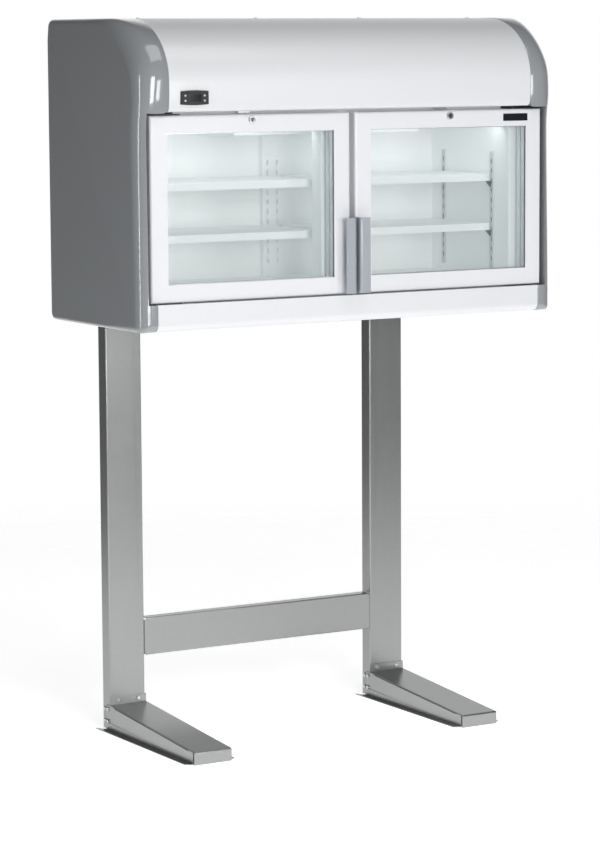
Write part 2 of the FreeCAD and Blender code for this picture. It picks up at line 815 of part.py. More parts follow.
def hinge_brackets():
    left = [hinge_bracket(True), hinge_bracket(False)]
    return Part.makeCompound(left + [mirrored(b) for b in left])


def reveal_strips():
    """Black strips at the bottom of the gap between each cap and door."""
    x0 = -pair_half - body_over
    strip = box(x0, x0 + 25, y_frame - 5, y_frame, z_door + hinge_leg + 1, z_head - 1)
    return Part.makeCompound([strip, mirrored(strip)])


# ---------------------------------------------------------------- controller
def bowed_plate(w, h, bow, y0, y1):
    """Plate whose long edges bow outwards."""
    x, z = -pair_half + control_x, z_door + control_z
    left, right = x - w / 2, x + w / 2
    low, high = z - h / 2 + bow, z + h / 2 - bow
    edges = [
        Part.Arc(V(left, y0, high), V(x, y0, high + bow), V(right, y0, high)).toShape(),
        line((right, y0, high), (right, y0, low)),
        Part.Arc(V(right, y0, low), V(x, y0, low - bow), V(left, y0, low)).toShape(),
        line((left, y0, low), (left, y0, high)),
    ]
    return Part.Face(Part.Wire(edges)).extrude(V(0, y1 - y0, 0))


def button_places():
    x, z = -pair_half + control_x, z_door + control_z - button_drop
    return [(x + sx * button_dx, z + sz * button_dz) for sx in (-1, 1) for sz in (1, -1)]


def controller_body():
    """Bezel on the canopy with the electronics housing behind it."""
    y0 = control_y
    bezel = bowed_plate(control_w, control_h, control_bow, y0, y_face)
    rim = [e for e in bezel.Edges if all(near(v.Y, y0) for v in e.Vertexes)]
    bezel = bezel.makeChamfer(1.0, rim).cut(envelope(skin_inset, -pair_half, 0))
    hole_x, hole_z = control_hole(), control_hole_z()
    housing = box(hole_x[0] + 0.5, hole_x[1] - 0.5, y0 + control_t - 1, y0 + control_depth,
                  hole_z[0] + 0.5, hole_z[1] - 0.5)
    body = fuse([bezel, housing])
    for x, z in button_places():
        body = body.cut(rod(button_r + button_fit, (x, y0 - 1, z), (x, y0 + 4.5, z)))
    x, z = -pair_half + control_x, z_door + control_z
    return body.cut(box(x - display_w / 2, x + display_w / 2, y0 - 1, y0 + display_t,
                        z - display_h / 2, z + display_h / 2))


def controller_display():
    x, z = -pair_half + control_x, z_door + control_z
    y0 = control_y
    return box(x - display_w / 2, x + display_w / 2, y0 + 0.2, y0 + display_t, z - display_h / 2, z + display_h / 2)


def controller_button(place):
    x, z = place
    y0 = control_y
    button = rod(button_r, (x, y0 - button_out, z), (x, y0 + 3, z))
    rim = [e for e in button.Edges if all(near(v.Y, y0 - button_out) for v in e.Vertexes)]
    return button.makeFillet(0.8, rim)


# ---------------------------------------------------------------- refrigeration
def fan_wheel(centre, r, hub_r, hub_l, turn):
    """Axial fan whose bored hub end lies at centre; turn swings its axis about X."""
    hub = rod(hub_r, (0, 0, 0), (0, 0, hub_l))
    blades = []
    for k in range(fan_blades):
        sections = []
        for radius, tilt, chord in ((hub_r - 2, 52, 0.9 * hub_r), (r, 24, 0.95 * r)):
            t = math.radians(tilt)
            dx, dz = chord / 2 * math.cos(t), chord / 2 * math.sin(t)
            nx, nz = -math.sin(t), math.cos(t)
            ring = []
            for s, n in ((-1, -1), (1, -1), (1, 1), (-1, 1)):
                ring.append(V(radius, s * dx + n * nx * 0.9, hub_l / 2 + s * min(dz, hub_l / 2 - 1.5) + n * nz * 0.9))
            sections.append(Part.makePolygon(ring + [ring[0]]))
        blade = Part.makeLoft(sections, True, True)
        blade.rotate(V(0, 0, 0), V(0, 0, 1), 360.0 / fan_blades * k)
        blades.append(blade)
    wheel = fuse([hub] + blades).common(rod(r, (0, 0, 0), (0, 0, hub_l)))
    wheel = wheel.cut(rod(shaft_r + 0.02, (0, 0, -1), (0, 0, hub_l - 3)))
    wheel.rotate(V(0, 0, 0), V(1, 0, 0), turn)
    wheel.translate(V(*centre))
    return wheel


def cond_fan_place():
    """Front end of the condenser fan's hub; the fan blows to the back."""
    y = y_face + unit_y + condenser_d / 2 + 12 + fan_hub_l
    return cond_x, y, z_body_roof + skin_t + condenser_h / 2 + 4


def cool_fan_place():
    """Upper end of the cavity fan's hub; the fan blows down."""
    x = evap_w / 2 + 20 + cool_fan_r
    return x, y_cavity - evap_d / 2 - column_d - 5, z_door + cavity_roof - evap_cover_h + 6 + cool_hub_l


def condenser():
    """Finned coil with a shroud whose ring the fan turns in."""
    z0 = z_body_roof + skin_t
    y0 = y_face + unit_y - condenser_d / 2
    x0 = cond_x - condenser_w / 2
    plates = []
    pitch = (condenser_w - fin_t) / (fin_count - 1)
    for k in range(fin_count):
        x = x0 + k * pitch
        plates.append(box(x, x + fin_t, y0, y0 + condenser_d, z0, z0 + condenser_h))
    tubes = []
    for row in range(4):
        for col in range(2):
            y = y0 + condenser_d * (0.25 + 0.5 * col)
            z = z0 + condenser_h * (row + 0.5) / 4
            tubes.append(rod(tube_r, (x0 - 8, y, z), (x0 + condenser_w + 8, y, z)))
    coil = fuse(plates + tubes)
    cx, cy, cz = cond_fan_place()
    y1 = y0 + condenser_d
    plate = box(x0, x0 + condenser_w, y1, y1 + 2, z0, z0 + condenser_h + 8)
    ring = rod(fan_r + fan_gap + 2, (cx, y1, cz), (cx, y1 + 30, cz))
    shroud = fuse([plate, ring]).cut(rod(fan_r + fan_gap, (cx, y1 - 1, cz), (cx, y1 + 40, cz)))
    return fuse([coil, shroud])


def fan_motors():
    """The two motors with their shafts and the brackets that carry them."""
    cx, cy, cz = cond_fan_place()
    y0 = cy + 2
    x0 = cond_x - condenser_w / 2
    y_shroud = y_face + unit_y + condenser_d / 2 + 2
    motor = rod(motor_r, (cx, y0 + 2, cz), (cx, y0 + 2 + motor_l, cz))
    shaft = rod(shaft_r, (cx, cy - fan_hub_l + 4, cz), (cx, y0 + 3, cz))
    bar = box(cx - fan_r - 20, cx + fan_r + 20, y0 + motor_l + 2, y0 + motor_l + 4, cz - 10, cz + 10)
    legs = [box(cx + s * (fan_r + 19) - 1, cx + s * (fan_r + 19) + 1, y_shroud, y0 + motor_l + 4, cz - 10, cz + 10)
            for s in (-1, 1)]
    first = fuse([motor, shaft, bar] + legs)
    ex, ey, ez = cool_fan_place()
    z_top = z_door + cavity_roof
    body = rod(motor_r, (ex, ey, ez + 3), (ex, ey, z_top))
    pin = rod(shaft_r, (ex, ey, ez - cool_hub_l + 4), (ex, ey, ez + 4))
    second = fuse([body, pin])
    return Part.makeCompound([first, second])


def evaporator():
    """Finned coil under the cavity's ceiling."""
    z1 = z_door + cavity_roof - 4
    z0 = z1 - evap_h
    x0 = -evap_w / 2
    y0 = y_cavity - column_d - 5 - evap_d
    plates = []
    pitch = (evap_w - fin_t) / (fin_count - 1)
    for k in range(fin_count):
        x = x0 + k * pitch
        plates.append(box(x, x + fin_t, y0, y0 + evap_d, z0, z1))
    tubes = []
    for col in range(4):
        y = y0 + evap_d * (col + 0.5) / 4
        tubes.append(rod(tube_r, (x0 - 6, y, (z0 + z1) / 2), (x0 + evap_w + 6, y, (z0 + z1) / 2)))
    ears = [box(x - 2, x + fin_t, y0 + 20, y0 + evap_d - 20, z0, z_door + cavity_roof) for x in (x0, x0 + evap_w)]
    return fuse(plates + tubes + ears)


def evaporator_cover():
    """White tray under the coil and fan with air slots and the fan's grille."""
    z1 = z_door + cavity_roof
    z0 = z1 - evap_cover_h
    ex, ey, ez = cool_fan_place()
    x0, x1 = -evap_w / 2 - 20, ex + cool_fan_r + 20
    y0, y1 = y_cavity - evap_d - 40, y_cavity
    half = column_w / 2 + 1
    tray = box(x0, x1, y0, y1, z0, z1).cut(box(x0 + 1.5, x1 - 1.5, y0 + 1.5, y1 - 1.5, z0 + 1.5, z1 + 1))
    tray = tray.cut(box(-half, half, y_cavity - column_d - 1, y_cavity + 1, z0 - 1, z1 + 1))
    cuts = [box(x0 + 30 + k * 34, x0 + 42 + k * 34, y0 + 30, y0 + 90, z0 - 1, z0 + 3) for k in range(9)]
    for r in (14, 28, 42):
        cuts.append(rod(r + 6, (ex, ey, z0 - 1), (ex, ey, z0 + 3)).cut(rod(r, (ex, ey, z0 - 2), (ex, ey, z0 + 4))))
    tray = tray.cut(Part.makeCompound(cuts))
    spokes = [box(ex - 50, ex + 50, ey - 2.5, ey + 2.5, z0, z0 + 1.5), box(ex - 2.5, ex + 2.5, ey - 50, ey + 50, z0, z0 + 1.5)]
    return fuse([tray] + spokes)


def compressor():
    """Welded shell with a foot plate on rubber feet and its terminal box."""
    x, y = compressor_x, y_face + unit_y
    z = z_body_roof + skin_t
    foot = 14.0
    r = compressor_r
    h = compressor_h - foot
    top = [
        line((0, 0, foot), (r - 12, 0, foot)),
        Part.Arc(V(r - 12, 0, foot), V(r - 3.5, 0, foot + 3.5), V(r, 0, foot + 12)).toShape(),
        line((r, 0, foot + 12), (r, 0, foot + h * 0.55)),
        line((r, 0, foot + h * 0.55), (r + 3, 0, foot + h * 0.55)),
        line((r + 3, 0, foot + h * 0.55), (r + 3, 0, foot + h * 0.55 + 6)),
        line((r + 3, 0, foot + h * 0.55 + 6), (r - 1, 0, foot + h * 0.55 + 6)),
        Part.Arc(V(r - 1, 0, foot + h * 0.55 + 6), V(r * 0.7, 0, foot + h * 0.91), V(12, 0, foot + h)).toShape(),
        line((12, 0, foot + h), (0, 0, foot + h)),
        line((0, 0, foot + h), (0, 0, foot)),
    ]
    shell = Part.Face(Part.Wire(top)).revolve(V(0, 0, 0), V(0, 0, 1), 360)
    plate = box(-r - 12, r + 12, -r + 14, r - 14, foot - 3, foot)
    feet = [rod(9, (sx * r, sy * (r - 26), 0), (sx * r, sy * (r - 26), foot - 3)) for sx in (-1, 1) for sy in (-1, 1)]
    z_t = foot + terminal_low
    terminal = box(-terminal_w / 2, terminal_w / 2, -r - terminal_out, -r + 12, z_t, z_t + terminal_h)
    unit = fuse([shell, plate, terminal] + feet)
    unit.translate(V(x, y, z))
    return unit


def control_box():
    """Electrical box with its lid beside the unit."""
    z0 = z_body_roof + skin_t
    x0, x1 = power_box_x, power_box_x + power_box_w
    y0 = y_face + unit_y - 0.6 * power_box_d
    y1 = y0 + power_box_d
    o = power_lid_over
    block = box(x0, x1, y0, y1, z0, z0 + power_box_h)
    lid = box(x0 - o, x1 + o, y0 - o, y1 + o, z0 + power_box_h, z0 + power_box_h + power_lid_t)
    return fuse([block, lid])


def pipe(points, r):
    """Round tube along straight runs joined by tangent arcs."""
    bend = 4.0 * r
    pts = [V(*p) for p in points]
    edges = []
    start = pts[0]
    for a, b, c in zip(pts, pts[1:], pts[2:]):
        u = (a - b).normalize()
        w = (c - b).normalize()
        half = u.getAngle(w) / 2
        back = bend / math.tan(half)
        p, q = b + u * back, b + w * back
        mid_dir = (u + w).normalize()
        centre = b + mid_dir * (bend / math.sin(half))
        m = centre - mid_dir * bend
        edges.append(Part.makeLine(start, p))
        edges.append(Part.Arc(p, m, q).toShape())
        start = q
    edges.append(Part.makeLine(start, pts[-1]))
    path = Part.Wire(edges)
    ring = Part.Wire(Part.makeCircle(r, pts[0], pts[1] - pts[0]))
    return path.makePipeShell([ring], True, False)


def pipework():
    """Discharge pipe, and the filter drier with its line to the coil."""
    z = z_body_roof + skin_t
    xc, yc = compressor_x, y_face + unit_y
    x_coil = cond_x - condenser_w / 2 - 8
    y_coil = yc - condenser_d / 4
    z_coil = z + condenser_h * 0.875
    hot = pipe([(xc + compressor_r, yc, z + 60), (xc + compressor_r + 60, yc, z + 60),
                (xc + compressor_r + 60, y_coil, z_coil), (x_coil, y_coil, z_coil)], pipe_r)
    drier_z = z + condenser_h * 0.125
    x_end = x_coil - 30
    drier = rod(drier_r, (x_end - drier_l, y_coil, drier_z), (x_end, y_coil, drier_z))
    drier = drier.makeFillet(5, [e for e in drier.Edges if e.Length > 20 and near(e.BoundBox.XLength, 0)])
    stub = rod(pipe_r, (x_end - 2, y_coil, drier_z), (x_coil, y_coil, drier_z))
    x_clip = x_end - drier_l / 2
    stand = box(x_clip - 5, x_clip + 5, y_coil - 6, y_coil + 6, z, drier_z)
    return Part.makeCompound([hot, fuse([drier, stub, stand])])


# ---------------------------------------------------------------- stand
def channel(x, z0, z1):
    """Post: a channel open to the back with inward lips."""
    w, d, t = post_w / 2, post_d, post_t
    r = 3.0
    y0 = y_back
    outer = box(x - w, x + w, y0, y0 + d, z0, z1)
    outer = outer.makeFillet(r, [e for e in outer.Edges if e.BoundBox.ZLength > 50 and near(e.Vertexes[0].Y, y0)])
    inner = box(x - w + t, x + w - t, y0 + t, y0 + d - t, z0 - 1, z1 + 1)
    mouth = box(x - w + post_lip, x + w - post_lip, y0 + t, y0 + d + 1, z0 - 1, z1 + 1)
    return outer.cut(inner).cut(mouth)


def post():
    shape = channel(-post_x, foot_t, z_under + post_up)
    holes = [rod(shank_r + 0.2, (sx, y_back - 1, z), (sx, y_back + 6, z)) for sx, z in hang_places()]
    holes += [rod(shank_r + 0.2, (sx, y_back - 1, z), (sx, y_back + 6, z)) for sx, z in tab_places()]
    holes += [rod(shank_r + 0.2, (x - s * 8, y, z), (x + s * 8, y, z)) for x, y, z, s in side_screws()]
    return shape.cut(Part.makeCompound(holes))


def hang_places():
    return [(-post_x + sx * hang_dx, z_under + h) for h in (hang_low, hang_high) for sx in (-1, 1)]


def tab_places():
    return [(-post_x + sx * tab_screw_dx, foot_high + tab_screw_up) for sx in (-1, 1)]


def crossbar():
    """Channel between the posts with notched corners and end flanges."""
    x1 = post_x - post_w / 2
    y0 = y_back
    d = post_d - bar_inset
    t = bar_t
    z0, z1 = bar_low, bar_low + bar_h
    bar = box(-x1, x1, y0, y0 + d, z0, z1)
    bar = bar.makeFillet(2.5, [e for e in bar.Edges if e.BoundBox.XLength > 50 and near(e.Vertexes[0].Y, y0)])
    bar = bar.cut(box(-x1 + t, x1 - t, y0 + t, y0 + d + 1, z0 + t, z1 - t))
    n = bar_notch
    cuts = [box(x1 - bar_slit, x1, y0 - 1, y0 + 3, z0, z1), box(-x1, -x1 + bar_slit, y0 - 1, y0 + 3, z0, z1)]
    for sx in (-1, 1):
        for z in (z0, z1):
            cuts.append(box(min(sx * x1, sx * (x1 - n)), max(sx * x1, sx * (x1 - n)), y0 - 1, y0 + d + 1,
                            z - n * 0.6, z + n * 0.6))
    return bar.cut(Part.makeCompound(cuts))


def foot_front():
    return y_back + foot_back - foot_len


def slope(y, drop):
    """Height of the foot's sloping top at y, less drop."""
    return foot_low + (foot_high - foot_low) * (y - foot_front()) / (y_back - foot_front()) - drop


def foot_base():
    """Pressed base: floor plate with mitred flanges and two side plates."""
    x, t = -post_x, foot_t
    w = post_w / 2 + t
    yf, yb = foot_front(), y_back + foot_back
    ys = yf + foot_setback
    f = foot_flange
    floor = polygon([
        (x - w, ys, 0), (x - w - f, ys + f * 0.6, 0), (x - w - f, yb, 0), (x - w, yb - 28, 0),
        (x + w, yb - 28, 0), (x + w + f, yb, 0), (x + w + f, ys + f * 0.6, 0), (x + w, ys, 0),
    ]).extrude(V(0, 0, t))
    z_p = slope(y_back, t)
    y1, y2 = ys + foot_rest, y_back - foot_rest
    low = t + foot_relief
    side = polygon([
        (x - w, ys, 0), (x - w, yb - 22, 0), (x - w, yb - 26, z_p), (x - w, y_back, z_p),
        (x - w, y2, slope(y2, t)), (x - w, y2, slope(y2, low)), (x - w, y1, slope(y1, low)),
        (x - w, y1, slope(y1, t)), (x - w, ys, slope(ys, t)),
    ]).extrude(V(t, 0, 0))
    other = side.copy()
    other.translate(V(2 * w - t, 0, 0))
    base = fuse([floor, side, other])
    holes = [rod(shank_r + 0.2, (sx - 4, y, z), (sx + 4, y, z)) for sx, y, z, s in side_screws()]
    return base.cut(Part.makeCompound(holes))


def side_screws():
    """Screw places on both side plates: x of the plate's outer face, y, z and side."""
    w = post_w / 2 + foot_t
    places = []
    for s in (-1, 1):
        for dy in (side_screw_near, side_screw_far):
            for z in (side_screw_low, side_screw_high):
                places.append((-post_x + s * w, y_back + dy, z, s))
    return places


def foot_cover():
    """Sloping cover with a tab up the post and a cap folded down at the front."""
    x, t = -post_x, foot_t
    w = post_w / 2 + t
    yf = foot_front()
    z_tab = foot_high + foot_tab
    profile = [
        (0, yf, 0.0), (0, yf, slope(yf, 0)), (0, y_back - t, slope(y_back - t, 0)), (0, y_back - t, z_tab),
        (0, y_back, z_tab), (0, y_back, slope(y_back, t)), (0, yf + t, slope(yf + t, t)), (0, yf + t, 0.0),
    ]
    sheet = polygon(profile)
    sheet.translate(V(x - w, 0, 0))
    sheet = sheet.extrude(V(2 * w, 0, 0))
    bend = [e for e in sheet.Edges if e.BoundBox.XLength > 50 and near(e.Vertexes[0].Y, yf) and e.Vertexes[0].Z > 1]
    sheet = sheet.makeFillet(4.0, bend)
    length = y_back - yf
    edges = [e for e in sheet.Edges if e.BoundBox.YLength > 0.9 * length and e.BoundBox.ZMax > slope(y_back, 0.5 * t)]
    sheet = sheet.makeFillet(cover_edge_r, edges)
    holes = [rod(shank_r + 0.2, (sx, y_back - 6, z), (sx, y_back + 1, z)) for sx, z in tab_places()]
    return sheet.cut(Part.makeCompound(holes))


def foot_covers():
    left = foot_cover()
    return Part.makeCompound([left, mirrored(left)])


def screw(seat, direction):
    """Pan head screw whose head's underside lies on seat and whose shank points along direction."""
    d = V(*direction)
    seat = V(*seat)
    head = Part.makeCylinder(screw_r, screw_head, seat - d * screw_head, d)
    rim = [e for e in head.Edges if (e.CenterOfMass - seat).Length > screw_head * 0.9 and e.Length > 10 and e.Closed]
    head = head.makeChamfer(1.0, rim[:1])
    shank = Part.makeCylinder(shank_r, shank_l, seat, d)
    return head.fuse(shank).removeSplitter()


def stand_screws():
    """Screws of the foot tabs, foot sides and the cabinet's hanging holes."""
    left = [screw((x, y_back - foot_t, z), (0, 1, 0)) for x, z in tab_places()]
    left += [screw((x, y, z), (-s, 0, 0)) for x, y, z, s in side_screws()]
    left += [screw((x, y_back + post_t, z), (0, -1, 0)) for x, z in hang_places()]
    return Part.makeCompound(left + [mirrored(s) for s in left])


def roof_screws():
    """Small heads along the roof sheet and the caps."""
    spots = [(x_lobe + 40, y_curve + 40), (-150, y_curve + 40), (150, y_curve + 40), (-x_lobe - 40, y_curve + 40)]
    spots += [(x_lobe + 40, y_back - 40), (-x_lobe - 40, y_back - 40)]
    heads = []
    for x, y in spots:
        z = z_roof - skin_inset
        heads.append(rod(4.5, (x, y, z - skin_t / 2), (x, y, z + 2.2)))
        heads.append(rod(1.8, (x, y, z - 8), (x, y, z)))
    return heads


# ---------------------------------------------------------------- write the nodes
def main():
    os.makedirs("parts", exist_ok=True)
    cap = end_cap()
    save(cap, "end_cap_left")
    save(mirrored(cap), "end_cap_right")
    save(canopy(), "front_canopy")
    save(roof_panel(), "roof_panel")
    save(lower_shell(), "lower_shell")
    save(rear_panel(), "rear_panel")
    save(rear_grille(), "rear_grille")
    save(cord_grommet(), "cord_grommet")
    save(face_frame(), "face_frame")
    save(inner_liner(), "inner_liner")
    save(insulation(), "insulation")
    save(centre_mullion(), "centre_mullion")
    save(side_uprights(), "side_uprights")
    save(rear_column(), "rear_column")
    save(front_upright(), "front_upright")
    for name, level in (("lower", shelf_low), ("upper", shelf_high)):
        left = shelf(level)
        save(left, "shelf_%s_left" % name)
        save(mirrored(left), "shelf_%s_right" % name)
    save(shelf_clips(), "shelf_clips")
    for name, make in (("door_frame", door_frame), ("door_panes", door_panes), ("pane_spacer", pane_spacer),
                       ("door_seal", door_seal), ("handle", handle), ("lock_body", lock_body),
                       ("lock_plug", lock_plug)):
        left = make()
        save(left, name + "_left")
        save(mirrored(left), name + "_right")
    save(badge_plate(), "badge_plate")
    save(hinge_brackets(), "hinge_brackets")
    save(reveal_strips(), "reveal_strips")
    keeper = lock_keeper()
    save(Part.makeCompound([keeper, mirrored(keeper)]), "lock_keepers")
    save(controller_body(), "controller_body")
    save(controller_display(), "controller_display")
    for number, place in enumerate(button_places(), 1):
        save(controller_button(place), "controller_button_%d" % number)
    save(compressor(), "compressor")
    save(condenser(), "condenser")
    save(fan_motors(), "fan_motors")
    save(fan_wheel(cond_fan_place(), fan_r, fan_hub_r, fan_hub_l, 90), "condenser_fan")
    save(evaporator(), "evaporator")
    save(evaporator_cover(), "evaporator_cover")
    save(fan_wheel(cool_fan_place(), cool_fan_r, cool_hub_r, cool_hub_l, 180), "evaporator_fan")
    save(control_box(), "control_box")
    save(pipework(), "pipework")
    left_post = post()
    save(left_post, "post_left")
    save(mirrored(left_post), "post_right")
    save(crossbar(), "crossbar")
    base = foot_base()
    save(base, "foot_base_left")
    save(mirrored(base), "foot_base_right")
    save(foot_covers(), "foot_covers")
    save(stand_screws(), "stand_screws")


main()
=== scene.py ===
# %% [markdown]
# # A display freezer cabinet on its stand
# The real object is a wide white cabinet with two glass doors, moulded grey ends and a curved
# canopy, carried by a galvanised stand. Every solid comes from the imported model, which fixes the
# sizes and the bodies that move. This file dresses it: finer meshes where light shows the form,
# a finish for every surface, and a small studio.

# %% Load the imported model
import json
import math

import bmesh
import bpy
from mathutils import Matrix, Vector


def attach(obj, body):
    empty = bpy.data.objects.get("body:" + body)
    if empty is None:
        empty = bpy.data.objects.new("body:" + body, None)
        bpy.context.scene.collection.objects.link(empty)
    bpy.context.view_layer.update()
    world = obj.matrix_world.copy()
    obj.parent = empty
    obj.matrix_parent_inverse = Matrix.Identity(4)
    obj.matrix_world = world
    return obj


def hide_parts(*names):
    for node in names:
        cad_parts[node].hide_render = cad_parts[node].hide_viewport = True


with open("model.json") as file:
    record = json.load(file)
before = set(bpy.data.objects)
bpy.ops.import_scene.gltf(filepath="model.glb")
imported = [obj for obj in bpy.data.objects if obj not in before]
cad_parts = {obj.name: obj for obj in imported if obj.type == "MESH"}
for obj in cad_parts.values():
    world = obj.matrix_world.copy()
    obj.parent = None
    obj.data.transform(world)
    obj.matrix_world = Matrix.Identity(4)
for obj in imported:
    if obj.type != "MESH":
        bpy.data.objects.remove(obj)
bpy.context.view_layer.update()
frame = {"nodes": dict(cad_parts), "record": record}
nodes = frame["nodes"]

# %% [markdown]
# ## Camera
# The photograph was taken from the left, with a long lens at about the height of the roof, looking
# slightly down. The place and the angles come from fitting the posts, doors, crossbar and feet, so
# they are plain numbers here. A shorter lens moved closer could frame the same picture, but the far
# post would then look too small.

# %% Camera
scene = bpy.context.scene
focal_px, frame_height_px, sensor_mm = 3077.2, 855.0, 36.0
camera_at = (-3.9710, -6.6961, 1.7550)
yaw, pitch, roll = (math.radians(angle) for angle in (30.614, 7.140, -0.336))

cam_data = bpy.data.cameras.new("camera")
cam_data.sensor_width = sensor_mm
cam_data.lens = focal_px * sensor_mm / frame_height_px
cam_data.clip_start, cam_data.clip_end = 0.1, 100.0
camera = bpy.data.objects.new("camera", cam_data)
scene.collection.objects.link(camera)

ahead = Vector((math.sin(yaw) * math.cos(pitch), math.cos(yaw) * math.cos(pitch), -math.sin(pitch)))
level = Vector((math.cos(yaw), -math.sin(yaw), 0.0))
upright = level.cross(ahead)
right = level * math.cos(roll) + upright * math.sin(roll)
up = upright * math.cos(roll) - level * math.sin(roll)
camera.matrix_world = Matrix(
    [(right[i], up[i], -ahead[i], camera_at[i]) for i in range(3)] + [(0.0, 0.0, 0.0, 1.0)])
scene.camera = camera
print("camera at", [round(v, 2) for v in camera.matrix_world.translation])

# %% [markdown]
# ## Soft boxes
# In a studio, every highlight on a glossy part is the picture of a lamp. The large key box stands
# where it lights the doors but isn't mirrored in them. A tall narrow box far to the left draws the
# thin line down the left moulded end, and one to the right draws the white patch at its top. A box
# overhead shades the canopy, and two small strips stand for the lamps inside the cabinet. A sky
# picture could light the object too, but its highlights can't be placed one by one.

# %% Soft boxes
def soft_box(name, place, target, size, power, tint=(1.0, 1.0, 1.0)):
    data = bpy.data.lights.new(name, "AREA")
    data.shape = "RECTANGLE"
    data.size, data.size_y = size
    data.energy = power
    data.color = tint
    lamp = bpy.data.objects.new(name, data)
    lamp.location = place
    lamp.rotation_euler = (Vector(target) - Vector(place)).to_track_quat("-Z", "Y").to_euler()
    scene.collection.objects.link(lamp)
    return lamp


soft_box("key_box", (-1.2, -5.6, 1.8), (0, -0.2, 1.2), (2.0, 2.4), 152)
soft_box("line_box", (-4.5, -1.0, 1.4), (-0.5, -0.2, 1.3), (0.27, 2.8), 25)
soft_box("patch_box", (1.64, -5.48, 1.40), (-0.53, -0.26, 1.6), (1.20, 1.3), 40)
soft_box("top_box", (0.2, -1.8, 4.8), (0, 0, 1.0), (3.0, 2.0), 42)
cold_white = (0.96, 1.0, 0.985)
for at in (-0.28, 0.28):
    soft_box("cavity_light", (at, -0.15, 1.545), (at, 0.05, 1.15), (0.42, 0.05), 0.18, cold_white)
scene.view_settings.view_transform = "Standard"

# %% [markdown]
# ## Node helper
# Finishes and sky are graphs of nodes. Adding a node, setting its values and wiring it takes
# several lines each time, so one small class does it. Map ranges are used so often that they have
# a call of their own.

# %% Node helper
class Graph:
    """Places nodes in one tree and wires them."""

    def __init__(self, tree):
        self.tree = tree
        self.count = 0

    def add(self, kind, **settings):
        """A setting that starts with in_ is the value of the socket with that name."""
        node = self.tree.nodes.new(kind)
        self.count += 1
        node.location = (190 * (self.count % 9), -210 * (self.count // 9))
        for key, value in settings.items():
            if key.startswith("in_"):
                node.inputs[key[3:].replace("_", " ")].default_value = value
            else:
                setattr(node, key, value)
        return node

    def wire(self, source, target):
        self.tree.links.new(source, target)

    def map_range(self, source, start=0.0, stop=1.0, low=0.0, high=1.0, shape="LINEAR"):
        """Stretches source from start..stop to low..high."""
        node = self.add("ShaderNodeMapRange", interpolation_type=shape, in_From_Min=start,
                        in_From_Max=stop, in_To_Min=low, in_To_Max=high)
        self.wire(source, node.inputs["Value"])
        return node


# %% [markdown]
# ## Room and paper
# White paper hangs behind the object, and the rest of the room is dim, so that the end's flat side
# and the roof stay darker than the doors. Walls and flags could be modelled, but a sky that is
# bright only where the paper hangs gives the same light with less to compute. Rays that come
# straight from the camera see white on every side, which keeps the backdrop pale in any view.

# %% Room and paper
paper_way = (0.504, 0.855, -0.12)
room_glow = 0.055

world = bpy.data.worlds.new("studio")
scene.world = world
world.use_nodes = True
g = Graph(world.node_tree)
facing = g.add("ShaderNodeTexCoord")
toward = g.add("ShaderNodeVectorMath", operation="DOT_PRODUCT")
toward.inputs[1].default_value = paper_way
g.wire(facing.outputs["Generated"], toward.inputs[0])
paper = g.map_range(toward.outputs["Value"], 0.58, 0.965, room_glow, 1.0, "SMOOTHSTEP")
rays = g.add("ShaderNodeLightPath")
pale = g.add("ShaderNodeMath", operation="MAXIMUM")
g.wire(paper.outputs["Result"], pale.inputs[0])
g.wire(rays.outputs["Is Camera Ray"], pale.inputs[1])
sky = world.node_tree.nodes["Background"]
g.wire(pale.outputs["Value"], sky.inputs["Strength"])
sky.inputs["Color"].default_value = (1, 1, 1, 1)
print("sky nodes:", len(world.node_tree.nodes))

# %% [markdown]
# ## Floor
# The stand rests on a pale studio floor, which only has to take a soft shadow. A disc is enough,
# a hair below the feet. It has no edge to see, because its finish fades out further away.

# %% Floor
floor_radius, floor_gap = 6.5, 0.0005
floor_mesh = bpy.data.meshes.new("floor")
form = bmesh.new()
bmesh.ops.create_circle(form, cap_ends=True, radius=floor_radius, segments=96)
form.to_mesh(floor_mesh)
form.free()
floor = bpy.data.objects.new("floor", floor_mesh)
floor.location.z = -floor_gap
scene.collection.objects.link(floor)
print("floor radius:", floor_radius)

# %% [markdown]
# ## Shared surface effects
# Real finishes are never one even colour. The effects that several finishes share are node groups:
# fine grain, soft smudges, worn edges, and the crystals of zinc. Nodes could be copied into every
# material instead, but a group is built once and takes its own values in every finish.

# %% Node group helper
FLOAT, COLOUR = "NodeSocketFloat", "NodeSocketColor"


def new_group(name, inputs, outputs):
    tree = bpy.data.node_groups.new(name, "ShaderNodeTree")
    for label, kind, value in inputs:
        socket = tree.interface.new_socket(label, in_out="INPUT", socket_type=kind)
        socket.default_value = value
    for label, kind in outputs:
        tree.interface.new_socket(label, in_out="OUTPUT", socket_type=kind)
    g = Graph(tree)
    return g, g.add("NodeGroupInput"), g.add("NodeGroupOutput")


# %% [markdown]
# ### Fine grain
# Paint dries with a slight orange peel, and moulded plastic copies the skin of its mould. Both are
# a very small noise. It gives a height for the relief and a mask for tiny differences in colour.

# %% Grain group
g, start, end = new_group("Fine grain", [("Scale", FLOAT, 600.0), ("Detail", FLOAT, 3.0)],
                          [("Mask", FLOAT), ("Height", FLOAT)])
place = g.add("ShaderNodeTexCoord")
noise = g.add("ShaderNodeTexNoise", in_Roughness=0.55)
g.wire(place.outputs["Object"], noise.inputs["Vector"])
g.wire(start.outputs["Scale"], noise.inputs["Scale"])
g.wire(start.outputs["Detail"], noise.inputs["Detail"])
spread = g.map_range(noise.outputs["Fac"], 0.3, 0.7)
g.wire(spread.outputs["Result"], end.inputs["Mask"])
g.wire(noise.outputs["Fac"], end.inputs["Height"])
print("group:", g.tree.name)

# %% [markdown]
# ### Soft smudges
# Wiping leaves broad areas that are a little duller than the rest. A large noise moves the
# roughness between two values. The step between them is kept very soft, because a sharper one
# would draw a map on the white sheet.

